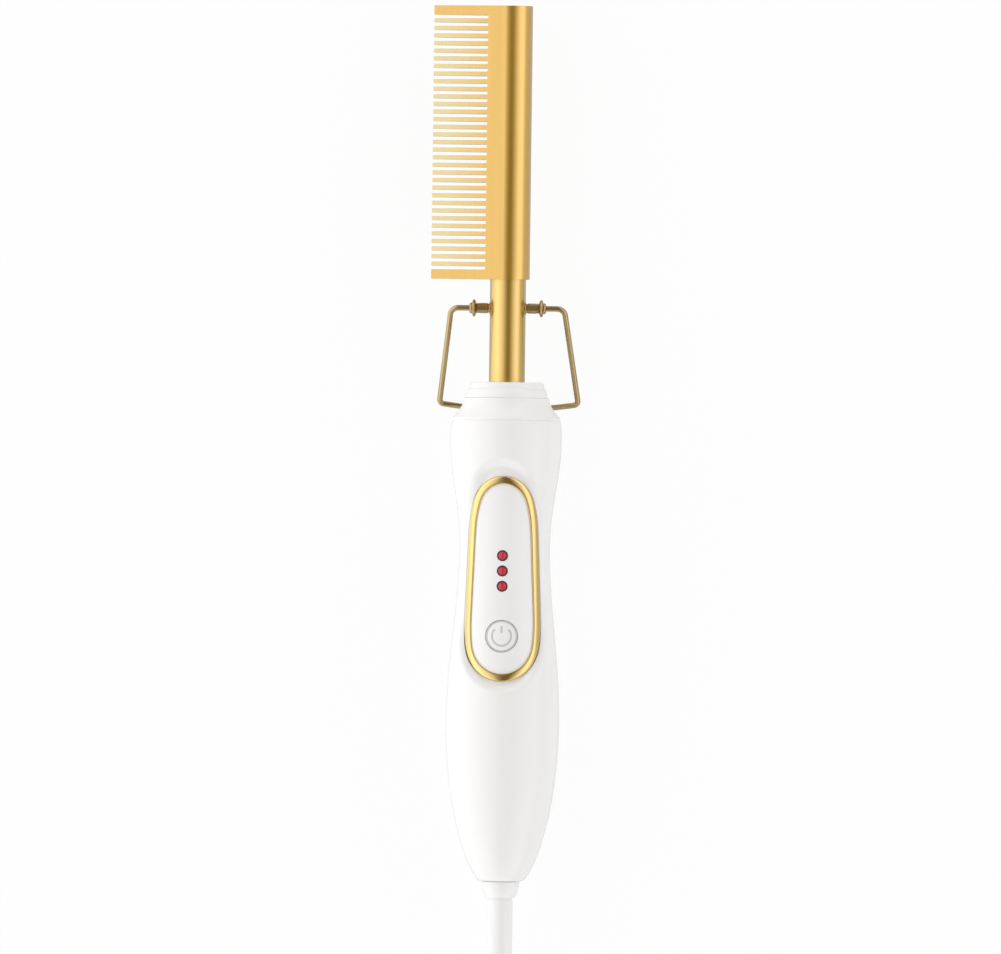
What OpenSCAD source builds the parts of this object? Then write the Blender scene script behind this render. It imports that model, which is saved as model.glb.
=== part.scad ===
// Electric hot comb with a waisted grip, a fold-out wire stand and a mains lead.
// It lies on its back on a table: +Y runs along the handle to the comb's tip, +Z points up
// from the table through the button, and the teeth point to -X.

/* [Handle] */
// Length of the handle shells
body_len = 147.4; // [140:0.1:160]
// Radius of the flat nose, where the lead leaves
nose_r = 6.9; // [6.6:0.1:8]
// Largest radius of the grip
belly_r = 18.15; // [17.5:0.05:20]
// Distance of the largest radius from the nose
belly_s = 51.5; // [46:0.5:56]
// Smallest radius of the grip
waist_r = 14.5; // [14.3:0.1:15.2]
// Distance of the waist from the handle's upper rim
waist_drop = 39.9; // [36:0.1:45]
// Radius of the swelling above the waist
crown_r = 17.85; // [17:0.05:19]
// Distance of that swelling from the upper rim
crown_drop = 6.4; // [4.4:0.1:11]
// Radius of the handle's upper rim
rim_r = 17.3; // [16.8:0.1:17.6]
// Thickness of the handle's wall
wall = 2.4; // [2:0.1:2.4]
// Thickness of the nose's end wall
nose_wall = 2.4; // [2:0.1:3]

/* [Neck] */
// Length of the flared shoulder
shoulder_len = 7.2; // [6:0.1:10]
// Radius at the top of the shoulder
shoulder_top_r = 13.6; // [13.4:0.1:15]
// Length of the collar
collar_len = 5; // [4:0.1:8]
// Radius at the top of the collar
collar_r = 11.7; // [10.5:0.1:12.5]
// Radius at the foot of the collar
collar_foot_r = 13.3; // [12.6:0.1:13.4]
// Length of the spigot that holds the shoulder in the shells
spigot_len = 4; // [3:0.5:5]

/* [Shank] */
// Outer radius of the shank tube
shank_r = 5.75; // [5.5:0.05:6]
// Inner radius of the shank tube
shank_bore_r = 4.5; // [4.3:0.1:4.7]
// Length of shank that shows between the collar and the comb
shank_show = 32.9; // [30:0.1:38]
// Depth of the shank in the handle
shank_in_handle = 13.4; // [12:0.1:14]
// Depth of the shank in the comb
shank_in_comb = 12; // [8:0.5:16]
// Thickness of the flange that anchors the shank
flange_t = 2.2; // [1.6:0.1:3]

/* [Comb] */
// Length of the comb head
comb_len = 87.5; // [86:0.5:100]
// Radius of the barrel that the teeth stand on
barrel_r = 6.9; // [6.6:0.1:8]
// Distance of the tooth tips from the barrel's axis
tooth_reach = 24.7; // [22:0.1:28]
// Thickness of the teeth at their tips
tip_t = 1.5; // [1:0.1:2]
// Number of slots between the teeth
slot_count = 34; // [20:1:34]
// Distance between neighbouring slots
slot_pitch = 2.435; // [2.2:0.005:2.45]
// Width of a slot
slot_w = 1.08; // [0.8:0.02:1.3]
// Distance of the slots' inner ends from the barrel's axis
slot_root = 7.2; // [7.1:0.1:12]
// Thickness of the plug in the comb's tip
tip_plug_t = 4; // [3:0.5:6]

/* [Heater] */
// Distance of the heater's end from the plug in the comb's tip
heater_end_gap = 8; // [4:0.5:24]
// Thickness of the heating plate
heater_t = 2.2; // [1.6:0.1:3]
// Radius of a heater lead
heater_lead_r = 0.6; // [0.4:0.05:0.7]
// Radius of the thermal fuse
fuse_r = 1.3; // [1:0.1:1.4]

/* [Stand] */
// Distance of the stand's pivot from the comb's lower end
pivot_drop = 9.2; // [8:0.1:10]
// Radius of the stand's wire
wire_r = 0.9; // [0.8:0.05:1.1]
// Half of the stand's width at the pivot
stand_top_x = 18.1; // [17:0.1:20]
// Half of the stand's width at its crossbar
stand_foot_x = 22.3; // [21:0.1:24]
// Length of the stand's legs
stand_leg = 34.6; // [33.5:0.1:35]
// How far the crossbar bows out at the middle
stand_bow = 2; // [1.8:0.1:3.4]
// Bend radius of the wire at the legs' upper ends, at its centre
wire_bend_r = 2.6; // [2.2:0.1:3.2]
// Bend radius of the wire at the crossbar's ends, at its centre
foot_bend_r = 1.5; // [1.4:0.1:2.6]
// Radius of a pivot stud's shaft
stud_r = 1.65; // [1.5:0.05:1.8]
// Radius of a pivot stud's collar
stud_collar_r = 2.85; // [2.4:0.05:3.2]
// Width of a pivot stud's collar
stud_collar_w = 1.8; // [1.4:0.1:2]
// Distance from the shank's axis to a stud's outer end
stud_end_x = 12.2; // [11.8:0.1:13]
// Depth of the wire's end in its stud
pin_depth = 5; // [4:0.5:5.5]

/* [Control panel] */
// Length of the trim ring
trim_len = 65.8; // [62:0.1:66]
// Distance of the trim ring's upper end from the handle's rim
trim_drop = 17.7; // [16.4:0.1:18.9]
// Radius of the trim ring's upper end
trim_top_r = 10; // [9.6:0.1:10.2]
// Half width of the trim ring above its middle
trim_mid_r = 11.1; // [10.8:0.1:11.3]
// Largest half width of the trim ring
trim_full_r = 12.4; // [12:0.1:12.5]
// Radius of the trim ring's lower end
trim_low_r = 12.1; // [11.8:0.1:12.3]
// Width of the trim ring's band
trim_w = 2.8; // [2.6:0.1:3]
// Radius of the panel's surface about the handle's axis
panel_r = 15; // [14.9:0.05:15.3]
// Thickness of the panel
panel_t = 1.6; // [1.4:0.1:1.6]
// Height of the trim ring above the panel
trim_proud = 0.55; // [0.3:0.05:0.8]
// Width of the soft border round the trim ring
border_w = 1.6; // [1.2:0.1:1.8]

/* [Button and lights] */
// Distance of the button from the trim ring's lower end
button_rise = 14.6; // [14.3:0.1:18]
// Radius of the button
button_r = 4.9; // [4.5:0.1:5]
// Gap round the button
button_gap = 0.35; // [0.3:0.05:0.5]
// Radius of the flange that keeps the button in
button_flange_r = 6; // [5.6:0.1:6]
// Travel of the button
button_travel = 0.5; // [0.3:0.1:0.6]
// Radius of a light
led_r = 1.75; // [1.5:0.05:1.8]
// Distance of the upper light from the trim ring's upper end
led_drop = 25.5; // [23.5:0.1:29.5]
// Distance between neighbouring lights
led_pitch = 4.88; // [4.6:0.02:5.2]
// Height of the lights above the panel
led_proud = 0.7; // [0.4:0.1:1]

/* [Circuit board] */
// Distance of the board's front face from the handle's axis
board_depth = 6.4; // [6:0.1:6.6]
// Thickness of the board
board_t = 1.2; // [1:0.1:1.6]
// Half of the board's width
board_half = 8.5; // [8.2:0.1:8.8]
// Distance of the board's upper end from the shank
board_clear = 8; // [7:0.5:10]
// Length of the board
board_len = 66; // [64:0.5:66]

/* [Lead and swivel] */
// Radius of the mains lead
cord_r = 2.75; // [2.5:0.05:3]
// Radius of the strain relief at the swivel
boot_r = 4; // [3.8:0.1:4.4]
// Radius of the strain relief at its free end
boot_end_r = 3.3; // [3.1:0.1:3.5]
// Length of the strain relief
boot_len = 39.6; // [30:0.2:60]
// Radius of the swivel's outer ring
swivel_r = 6; // [5.6:0.1:6.4]
// Length of the swivel's outer ring
swivel_len = 5.1; // [4:0.1:7]
// Radius of the swivel's neck in the nose
swivel_neck_r = 4.5; // [4.3:0.1:4.8]
// Radius of the swivel's flange inside the nose
swivel_flange_r = 6.2; // [5.8:0.1:6.3]
// Outer radius of a slip ring
slip_ring_r = 3.8; // [3.6:0.1:4]

/* [Plug] */
// Width of the plug
plug_w = 35.3; // [33:0.1:36]
// Thickness of the plug
plug_t = 13.7; // [13:0.1:14.5]
// Length of the plug's body
plug_len = 36; // [32:0.5:38]
// Radius of a plug pin
plug_pin_r = 2; // [1.9:0.05:2.4]
// Length of a plug pin
plug_pin_len = 19; // [18:0.1:20]
// Distance between the plug pins
plug_pin_gap = 19; // [18:0.1:20]
// Length of the insulating sleeve on a pin
pin_sleeve_len = 10; // [8:0.5:11]

/* [Hidden] */

$fn = 96;
fit = 0.05;        // running and press clearance between round pieces
gap = 0.1;         // clearance between pieces that are laid against each other
eps = 0.05;        // overlap of the two halves of one solid
far = 60;          // reach of a cutter that clears the whole handle
nose_bulge = 2.08; // roundness of the grip below its largest radius
nose_full = 0.72;  // bluntness of the grip at the nose

// Stations along the handle's axis, from the nose
waist_s = body_len - waist_drop;
crown_s = body_len - crown_drop;
trim_top_s = body_len - trim_drop;
trim_foot_s = trim_top_s - trim_len;
led_s = trim_top_s - led_drop;
button_s = trim_foot_s + button_rise;
collar_s = body_len + shoulder_len;
collar_top = collar_s + collar_len;
comb_s = collar_top + shank_show;
comb_tip = comb_s + comb_len;
pivot_s = comb_s - pivot_drop;
shank_foot = body_len - shank_in_handle;
board_top = shank_foot - board_clear;
board_low = board_top - board_len;
swivel_gap = 0.3;
swivel_foot = -swivel_gap - swivel_len;
boot_foot = swivel_foot - boot_len;
mid_s = (comb_tip + boot_foot) / 2;

// Everything on the handle is drawn upright: its axis is Z, its front is -Y.
module lay() translate([0, -mid_s, belly_r]) rotate([-90, 0, 0]) children();

function ease(a, b, t) = a + (b - a) * (1 - cos(180 * t)) / 2;

function handle_r(s) =
    s <= 0 ? nose_r
    : s <= belly_s ? nose_r + (belly_r - nose_r) * pow(1 - pow(1 - s / belly_s, nose_bulge), nose_full)
    : s <= waist_s ? ease(belly_r, waist_r, (s - belly_s) / (waist_s - belly_s))
    : s <= crown_s ? ease(waist_r, crown_r, (s - waist_s) / (crown_s - waist_s))
    : crown_r - (crown_r - rim_r) * pow((s - crown_s) / (body_len - crown_s), 4);

nose_steps = 14;
grip_steps = 9;
rim_steps = 4;
stations = concat(
    [for (i = [0:nose_steps]) belly_s * pow(i / nose_steps, 2)],
    [for (i = [1:grip_steps]) belly_s + (waist_s - belly_s) * i / grip_steps],
    [for (i = [1:grip_steps]) waist_s + (crown_s - waist_s) * i / grip_steps],
    [for (i = [1:rim_steps]) crown_s + (body_len - crown_s) * i / rim_steps]
);

// The handle's round form, smaller by inset, from the station foot up.
module handle_form(inset = 0, foot = 0, over = 0) {
    inner = [for (s = stations) if (s > foot + 0.5) [handle_r(s) - inset, s]];
    rotate_extrude()
        polygon(concat(
            [[0, foot], [handle_r(foot) - inset, foot]],
            inner,
            [[handle_r(body_len) - inset, body_len + over], [0, body_len + over]]
        ));
}

module ring(outer, inner, foot, top) {
    difference() {
        translate([0, 0, foot]) cylinder(r = outer, h = top - foot);
        translate([0, 0, foot - 1]) cylinder(r = inner, h = top - foot + 2);
    }
}

module half(front) translate([-far, front ? -far : 0, -far]) cube([2 * far, far, 6 * far]);

// A cylinder along Y, from y0 to y1, at x and at station s.
module across(x, s, r, y0, y1) translate([x, y1, s]) rotate([90, 0, 0]) cylinder(r = r, h = y1 - y0);

// A tube swept along points: one ring of corners per point, square to the path.
function unit(v) = v / norm(v);
function tangent(p, i) = unit(p[min(i + 1, len(p) - 1)] - p[max(i - 1, 0)]);
function ring_at(p, i, r, sides, side_dir) =
    let (t = tangent(p, i), u = unit(side_dir - t * (side_dir * t)), v = cross(t, u))
    [for (k = [0:sides - 1]) p[i] + r * (cos(360 * k / sides) * u + sin(360 * k / sides) * v)];
module sweep(p, r, sides = 8, side_dir = [1, 0, 0]) {
    rings = len(p);
    polyhedron(
        points = [for (i = [0:rings - 1]) each ring_at(p, i, r, sides, side_dir)],
        faces = concat(
            [[for (k = [0:sides - 1]) k]],
            [for (i = [0:rings - 2]) for (k = [0:sides - 1]) let (n = (k + 1) % sides)
                each [[i * sides + k, (i + 1) * sides + k, i * sides + n],
                      [i * sides + n, (i + 1) * sides + k, (i + 1) * sides + n]]],
            [[for (k = [sides - 1:-1:0]) (rings - 1) * sides + k]]
        )
    );
}

// Points of an arc that rounds the corner b between a and c.
function rounded(a, b, c, r, steps) =
    let (u = unit(a - b), v = unit(c - b), h = acos(u * v) / 2, w = 90 - h,
         m = b + unit(u + v) * r / sin(h), p = b + u * r / tan(h) - m, q = b + v * r / tan(h) - m)
    [for (i = [0:steps]) m + (sin(2 * w * (1 - i / steps)) * p + sin(2 * w * i / steps) * q) / sin(2 * w)];

// ---- Comb head ----
bore_r = shank_bore_r;
socket_top = comb_s + shank_in_comb;
flank_r = barrel_r - eps; // the flanks meet the barrel just short of tangency
flank_a = asin(flank_r / norm([tooth_reach, tip_t / 2])) - atan(tip_t / 2 / tooth_reach);
first_slot = comb_s + (comb_len - slot_pitch * (slot_count - 1)) / 2;

module wedge() {
    x = -flank_r * sin(flank_a);
    y = flank_r * cos(flank_a);
    translate([0, 0, comb_s]) linear_extrude(comb_len)
        polygon([[-tooth_reach, -tip_t / 2], [x, -y], [x, y], [-tooth_reach, tip_t / 2]]);
}

module comb_head() color("goldenrod") lay() difference() {
    union() {
        translate([0, 0, comb_s]) cylinder(r = barrel_r, h = comb_len);
        wedge();
    }
    translate([0, 0, comb_s - 1]) cylinder(r = bore_r, h = comb_len + 2);
    translate([0, 0, comb_s - 1]) cylinder(r = shank_r + fit, h = shank_in_comb + 1);
    translate([0, 0, comb_tip - tip_plug_t]) cylinder(r = tip_plug_r + fit, h = tip_plug_t + 1);
    for (i = [0:slot_count - 1])
        translate([-far - slot_root, -far / 2, first_slot + slot_pitch * i - slot_w / 2])
            cube([far, far, slot_w]);
}

tip_plug_r = bore_r + 0.9;
module tip_plug() color("goldenrod") lay() translate([0, 0, comb_tip - tip_plug_t + gap])
    cylinder(r = tip_plug_r, h = tip_plug_t - gap);

// ---- Heater ----
clamp_r = bore_r - gap;
clamp_foot = socket_top + 5.5;
clamp_len = comb_tip - tip_plug_t - heater_end_gap - clamp_foot;
plate_in = 1;      // how far the plate's ends lie inside the clamps
plate_half = 3.5;

module heater_plate() color("ivory") lay()
    translate([-plate_half, -heater_t / 2, clamp_foot + plate_in])
        cube([2 * plate_half, heater_t, clamp_len - 2 * plate_in]);

module heater_clamp(front) difference() {
    translate([0, 0, clamp_foot]) cylinder(r = clamp_r, h = clamp_len);
    translate([-far, -heater_t / 2 - fit, 0]) cube([2 * far, heater_t + 2 * fit, 5 * far]);
    half(!front);
}
module heater_clamp_front() color("silver") lay() heater_clamp(true);
module heater_clamp_rear() color("silver") lay() heater_clamp(false);

bead_r = 1.1;
bead_len = 4;
bead_y = -(bore_r - gap - bead_r);
bead_foot = socket_top + 0.8;
module thermistor() color("black") lay() translate([0, bead_y, bead_foot]) cylinder(r = bead_r, h = bead_len);

lead_x = 1.5;
fuse_foot = collar_top + 4;
fuse_len = 10;
board_back = -(board_depth - board_t);
pad_s = board_top - 8;

// A lead from a pad on the board's rear face into the shank.
function lead_path(pad_x, x, y, r) = [
    [pad_x, board_back + r, pad_s], [pad_x, board_back + r, pad_s + 6],
    [ease(pad_x, x, 0.3), ease(board_back + r, y, 0.3), pad_s + 11],
    [ease(pad_x, x, 0.7), ease(board_back + r, y, 0.7), pad_s + 15],
    [x, y, pad_s + 20]
];

module thermal_fuse() color("silver") lay() translate([-lead_x, 0, fuse_foot]) cylinder(r = fuse_r, h = fuse_len);

module heater_lead_live() color("white") lay() {
    path = lead_path(-3.2, -lead_x, 0, heater_lead_r);
    sweep(concat(path, [[-lead_x, 0, fuse_foot]]), heater_lead_r);
    translate([-lead_x, 0, fuse_foot + fuse_len])
        cylinder(r = heater_lead_r, h = clamp_foot + plate_in - fuse_foot - fuse_len);
}
module heater_lead_neutral() color("white") lay()
    sweep(concat(lead_path(3.2, lead_x, 0, heater_lead_r), [[lead_x, 0, clamp_foot + plate_in]]), heater_lead_r);

sensor_lead_r = 0.3;
sensor_y = -1.9;
module sensor_leads() color("khaki") lay() for (side = [-1, 1])
    sweep(concat(lead_path(1.1 * side, 0.5 * side, sensor_y, sensor_lead_r), [
        [0.5 * side, sensor_y, sleeve_top + 0.5], [0.5 * side, (sensor_y + bead_y) / 2, sleeve_top + 3],
        [0.5 * side, bead_y, bead_foot - 0.6], [0.5 * side, bead_y, bead_foot]
    ]), sensor_lead_r);

sleeve_foot = shank_foot + 6;
sleeve_top = socket_top - 4;
module lead_sleeve() color("beige") lay() ring(shank_bore_r - 0.5, 3, sleeve_foot, sleeve_top);

// ---- Shank ----
module shank_tube() color("goldenrod") lay() difference() {
    ring(shank_r, shank_bore_r, shank_foot, socket_top);
    translate([-far, 0, pivot_s]) rotate([0, 90, 0]) cylinder(r = stud_r + fit, h = 2 * far);
}

spigot_r = handle_r(body_len) - wall - gap;
flange_foot = body_len - spigot_len - flange_t - gap;
flange_r = spigot_r - gap;
module shank_flange() color("silver") lay() {
    ring(flange_r, shank_r + fit, flange_foot, flange_foot + flange_t);
    ring(shank_r + 2, shank_r + fit, shank_foot + 1, flange_foot + eps);
}

// A stud is turned about the pivot's axis: shaft, collar, hub, and a bore for the wire's end.
stud_root_x = shank_bore_r + 0.3;
stud_collar_x = stud_end_x - 2;
hub_r = wire_r + fit + 0.5;
module stud() difference() {
    union() {
        translate([0, 0, stud_root_x]) cylinder(r = stud_r, h = stud_collar_x - stud_root_x);
        translate([0, 0, stud_collar_x - stud_collar_w / 2]) cylinder(r = stud_collar_r, h = stud_collar_w);
        translate([0, 0, stud_collar_x]) cylinder(r = hub_r, h = stud_end_x - stud_collar_x);
    }
    translate([0, 0, stud_end_x - pin_depth - 0.3]) cylinder(r = wire_r + fit, h = far);
}
module stud_right() color("darkgoldenrod") lay() translate([0, 0, pivot_s]) rotate([0, 90, 0]) stud();
module stud_left() color("darkgoldenrod") lay() translate([0, 0, pivot_s]) rotate([0, -90, 0]) stud();

// ---- Stand ----
// Folded, the middle of its crossbar lies on the table behind the shoulder.
stand_a = asin((belly_r - wire_r) / (stand_leg + stand_bow));
bar_steps = 8;
pin_x = stud_end_x - pin_depth;
pin_end = stand_top_x - wire_bend_r - 1.5;
function bar_point(x) = [x, 0, -stand_leg - stand_bow * (1 - pow(x / stand_foot_x, 2))];
top_corner = [stand_top_x, 0, 0];
foot_corner = [stand_foot_x, 0, -stand_leg];
bar_end_x = stand_foot_x - 5;
half_path = concat(
    [[pin_end - 0.5, 0, 0]],
    rounded([0, 0, 0], top_corner, foot_corner, wire_bend_r, 8),
    rounded(top_corner, foot_corner, bar_point(bar_end_x), foot_bend_r, 8),
    [for (i = [0:bar_steps]) bar_point(bar_end_x * (1 - i / bar_steps))]
);
stand_path = concat(half_path, [for (i = [len(half_path) - 2:-1:0])
    [-half_path[i][0], half_path[i][1], half_path[i][2]]]);

module stand_wire() color("goldenrod") lay() translate([0, 0, pivot_s]) rotate([stand_a, 0, 0]) {
    sweep(stand_path, wire_r * 0.99, 12, [0, 1, 0]);
    for (side = [-1, 1]) rotate([0, 90 * side, 0])
        translate([0, 0, pin_x]) cylinder(r = wire_r, h = pin_end - pin_x);
}

// ---- Neck ----
neck_bore_r = shank_r + fit;
collar_spigot_r = 9;
collar_spigot_len = 3;
module neck_collar() color("white") lay() difference() {
    union() {
        rotate_extrude() polygon([
            [0, collar_s], [collar_foot_r, collar_s], [collar_foot_r - 0.7, collar_s + 0.35 * collar_len],
            [collar_r + 0.2, collar_top - 1], [collar_r, collar_top - 0.5], [collar_r - 0.5, collar_top], [0, collar_top]
        ]);
        translate([0, 0, collar_s - collar_spigot_len]) cylinder(r = collar_spigot_r, h = collar_spigot_len + eps);
    }
    translate([0, 0, collar_s - far]) cylinder(r = neck_bore_r, h = 2 * far);
}

shoulder_lip = 0.9;
module shoulder_ring() color("white") lay() difference() {
    union() {
        rotate_extrude() polygon([
            [0, body_len], [rim_r, body_len], [rim_r, body_len + shoulder_lip],
            for (i = [0:6]) let (t = i / 6) [
                shoulder_top_r + (rim_r - 0.4 - shoulder_top_r) * pow(1 - t, 1.5),
                body_len + shoulder_lip + 0.3 + (shoulder_len - shoulder_lip - 0.3) * t
            ],
            [0, collar_s]
        ]);
        translate([0, 0, body_len - spigot_len]) cylinder(r = spigot_r, h = spigot_len + eps);
    }
    translate([0, 0, collar_s - collar_spigot_len - gap]) cylinder(r = collar_spigot_r + fit, h = far);
    translate([0, 0, body_len - far]) cylinder(r = neck_bore_r, h = 2 * far);
    translate([0, 0, body_len - spigot_len - eps]) cylinder(r = spigot_r - 2, h = spigot_len + 2);
}

// ---- Control panel outline ----
// The outline is the hull of four circles, from the narrow upper end to the broad lower one.
trim_mid_step = 4.3;   // distance of the second circle's edge from the upper end
trim_full_rise = 5.2;  // distance of the broadest circle's edge from the lower end
trim_circles = [
    [trim_top_r, trim_top_s - trim_top_r],
    [trim_mid_r, trim_top_s - trim_mid_r - trim_mid_step],
    [trim_full_r, trim_foot_s + trim_full_r + trim_full_rise],
    [trim_low_r, trim_foot_s + trim_low_r]
];
module outline(grow) hull() for (c = trim_circles) translate([0, c[1]]) circle(r = c[0] + grow, $fn = 48);
module front_prism() rotate([90, 0, 0]) linear_extrude(far) children();
module outline_prism(grow) front_prism() outline(grow);

dish_top = 4.5;
dish_foot = 3.2;
dish_blunt = 0.8; // the dish's upper end is this much rounder than the trim's
module dish_outline(grow = 0) hull() {
    for (c = trim_circles) translate([0, c[1]]) circle(r = c[0] + border_w + grow, $fn = 48);
    translate([0, trim_top_s + dish_top - trim_top_r - dish_blunt])
        circle(r = trim_top_r + dish_blunt + grow, $fn = 48);
    translate([0, trim_foot_s - dish_foot + trim_low_r + border_w])
        circle(r = trim_low_r + border_w + grow, $fn = 48);
}

seat_r = panel_r - panel_t - gap; // the ledge under the panel
ledge_in_r = seat_r - 1.2;
border_r = panel_r - gap;
window_in = 5.5;                  // how far the ledge reaches in from the trim's edge

module annulus(outer, inner) ring(outer, inner, 0, body_len);

// ---- Shells ----
screw_low_s = 40;
screw_low_x = 9.5;
screw_high_s = body_len - 15.4;
screw_high_x = 8.5;
screw_r = 1.15;
screw_head_r = 2.1;
screw_head_t = 1.6;
screw_seat = 8;      // depth of the screw heads' seat behind the parting plane
screw_reach = 7;     // depth of the screws in front of the parting plane
boss_r = 3;
screw_spots = [for (x = [-1, 1]) each [[x * screw_low_x, screw_low_s], [x * screw_high_x, screw_high_s]]];

board_screw_spots = [[-6.5, board_top - 4], [6.5, board_top - 4], [0, board_low + 4.5]];
board_screw_r = 0.95;
board_boss_r = 2;

rib_foot = flange_foot - gap - 1.9;
block_foot = 6.2;
block_top = 14.2;
block_r = 8.2;

module shell_hollow() difference() {
    handle_form(wall, nose_wall, 1);
    ring(far, shank_r + 5.6, rib_foot, flange_foot - gap);
    ring(far, block_r + gap, block_top - 1.6, block_top);
}

module shell_bosses(front) intersection() {
    handle_form(wall / 2);
    for (p = screw_spots)
        across(p[0], p[1], boss_r, front ? -far : gap / 2, front ? -gap / 2 : far);
}

module board_bosses() intersection() {
    handle_form(wall / 2);
    for (p = board_screw_spots) across(p[0], p[1], board_boss_r, -far, -board_depth);
}

module front_shell() color("white") lay() difference() {
    union() {
        difference() {
            handle_form();
            shell_hollow();
            half(false);
        }
        intersection() {
            outline_prism(border_w);
            annulus(border_r, ledge_in_r);
        }
        // The wall runs on under the dish.
        intersection() {
            front_prism() dish_outline(border_w);
            annulus(border_r, ledge_in_r);
            handle_form(wall / 2);
        }
        shell_bosses(true);
        board_bosses();
    }
    intersection() {
        outline_prism(gap);
        annulus(far, seat_r);
    }
    intersection() {
        front_prism() dish_outline();
        annulus(far, border_r);
    }
    outline_prism(-window_in);
    for (p = screw_spots) across(p[0], p[1], screw_r + fit, -screw_reach - 1, 1);
    for (p = board_screw_spots) across(p[0], p[1], board_screw_r + fit, -board_depth - 4, -board_depth + 1);
    translate([0, 0, -1]) cylinder(r = swivel_neck_r + fit, h = nose_wall + 2);
}

module rear_shell() color("white") lay() difference() {
    union() {
        difference() {
            handle_form();
            shell_hollow();
            half(true);
        }
        shell_bosses(false);
    }
    for (p = screw_spots) {
        across(p[0], p[1], screw_r + 0.3, -1, far);
        across(p[0], p[1], screw_head_r + 0.2, screw_seat, far);
    }
    translate([0, 0, -1]) cylinder(r = swivel_neck_r + fit, h = nose_wall + 2);
}

module cross_slot(x, s, y, r) for (a = [0, 90])
    translate([x, y, s]) rotate([0, a, 0]) translate([-r, -0.8, -0.3]) cube([2 * r, far, 0.6]);

module shell_screws() color("silver") lay() for (p = screw_spots) difference() {
    union() {
        across(p[0], p[1], screw_r, -screw_reach, screw_seat + eps);
        across(p[0], p[1], screw_head_r, screw_seat, screw_seat + screw_head_t);
    }
    cross_slot(p[0], p[1], screw_seat + screw_head_t, 1.4);
}

// ---- Panel pieces ----
module trim_ring() color("gold") lay() intersection() {
    difference() {
        outline_prism(0);
        outline_prism(-trim_w);
    }
    annulus(panel_r + trim_proud, seat_r + gap);
}

led_spots = [for (i = [0:2]) led_s - led_pitch * i];
module control_panel() color("white") lay() difference() {
    intersection() {
        outline_prism(-trim_w - fit);
        annulus(panel_r, seat_r + gap);
    }
    across(0, button_s, button_r + button_gap, -far, 0);
    for (s = led_spots) across(0, s, led_r + gap, -far, 0);
}

// The button's cap follows the panel's curve; its flange keeps it in.
button_back = 10.7;
button_flange_t = 0.8;
module power_button() color("white") lay() {
    intersection() {
        across(0, button_s, button_r, -far, -button_back);
        translate([0, 0, button_s - far / 2]) cylinder(r = panel_r, h = far);
    }
    across(0, button_s, button_flange_r, -button_back - button_flange_t, -button_back);
}

led_foot = 10.2;
led_flange_t = 1;
module led(s) color("firebrick") lay() {
    dome_y = -(panel_r + led_proud - led_r);
    across(0, s, led_r, dome_y, -led_foot);
    translate([0, dome_y, s]) sphere(r = led_r);
    across(0, s, led_r + 0.35, -led_foot - led_flange_t, -led_foot);
    for (x = [-1.27, 1.27]) across(x, s, 0.25, -led_foot - eps, -board_depth);
}
module led_upper() led(led_spots[0]);
module led_middle() led(led_spots[1]);
module led_lower() led(led_spots[2]);

// ---- Circuit board ----
module circuit_board() color("darkgreen") lay() difference() {
    translate([-board_half, -board_depth, board_low]) cube([2 * board_half, board_t, board_len]);
    for (p = board_screw_spots) across(p[0], p[1], board_screw_r + 0.25, -far, far);
}

module board_screws() color("silver") lay() for (p = board_screw_spots) difference() {
    union() {
        across(p[0], p[1], board_screw_r, -board_depth - 3.5, board_back + eps);
        across(p[0], p[1], 1.8, board_back, board_back + 1.2);
    }
    cross_slot(p[0], p[1], board_back + 1.2, 1.1);
}

switch_half = 3;
plunger_r = 1.75;
plunger_in = 1.4; // how far the plunger stands in the switch at rest
switch_top = 9.9;
module switch_body() color("dimgray") lay() difference() {
    translate([-switch_half, -switch_top, button_s - switch_half])
        cube([2 * switch_half, switch_top - board_depth, 2 * switch_half]);
    across(0, button_s, plunger_r + fit, -far, -switch_top + plunger_in + button_travel + 0.4);
}
module switch_plunger() color("black") lay() across(0, button_s, plunger_r, -button_back, -switch_top + plunger_in);

// Pieces on the rear of the board stand on its face.
module on_board(x, s) translate([x, board_back, s]) children();
module can(r, length) {
    translate([0, r + 0.2, 0]) cylinder(r = r, h = length);
    translate([-r / 2, 0, 0.5]) cube([r, r, length - 1]);
}
module microcontroller() color("black") lay() on_board(-2.5, board_low + 46) cube([5, 1.6, 6]);
module triac() color("black") lay() on_board(-6, board_low + 28) cube([4.6, 3.6, 5]);
module film_capacitor() color("gold") lay() on_board(-6.5, board_low + 17) cube([13, 9, 5.5]);
module electrolytic_capacitor() color("midnightblue") lay() on_board(3.6, board_low + 27) can(3, 11);
module power_resistor() color("lightblue") lay() on_board(-4.5, board_low + 36) can(1.6, 8);
module glass_fuse() color("lightgray") lay() on_board(-4, board_low + 11.5) rotate([0, 90, 0])
    mirror([1, 0, 0]) can(1.8, 8);

// ---- Swivel ----
stem_r = slip_ring_r - 0.8 - fit;
ring_live_s = 8.2;
ring_neutral_s = 12;
ring_half = 0.8;
stem_top = 14;
module swivel_spool() color("white") lay() rotate_extrude() polygon([
    [0, swivel_foot], [boot_r + 0.2, swivel_foot], [swivel_r - 0.7, swivel_foot + 1.5],
    [swivel_r - 0.45, swivel_foot + 2], [swivel_r, -swivel_gap - 0.4], [swivel_r - 0.3, -swivel_gap],
    [swivel_neck_r, -swivel_gap], [swivel_neck_r, nose_wall + swivel_gap],
    [swivel_flange_r, nose_wall + swivel_gap], [swivel_flange_r, nose_wall + swivel_gap + 1.6],
    [stem_r, nose_wall + swivel_gap + 1.6], [stem_r, stem_top], [0, stem_top]
]);
module slip_ring(s) color("gold") lay() ring(slip_ring_r, stem_r + fit, s - ring_half, s + ring_half);
module slip_ring_live() slip_ring(ring_live_s);
module slip_ring_neutral() slip_ring(ring_neutral_s);

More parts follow.
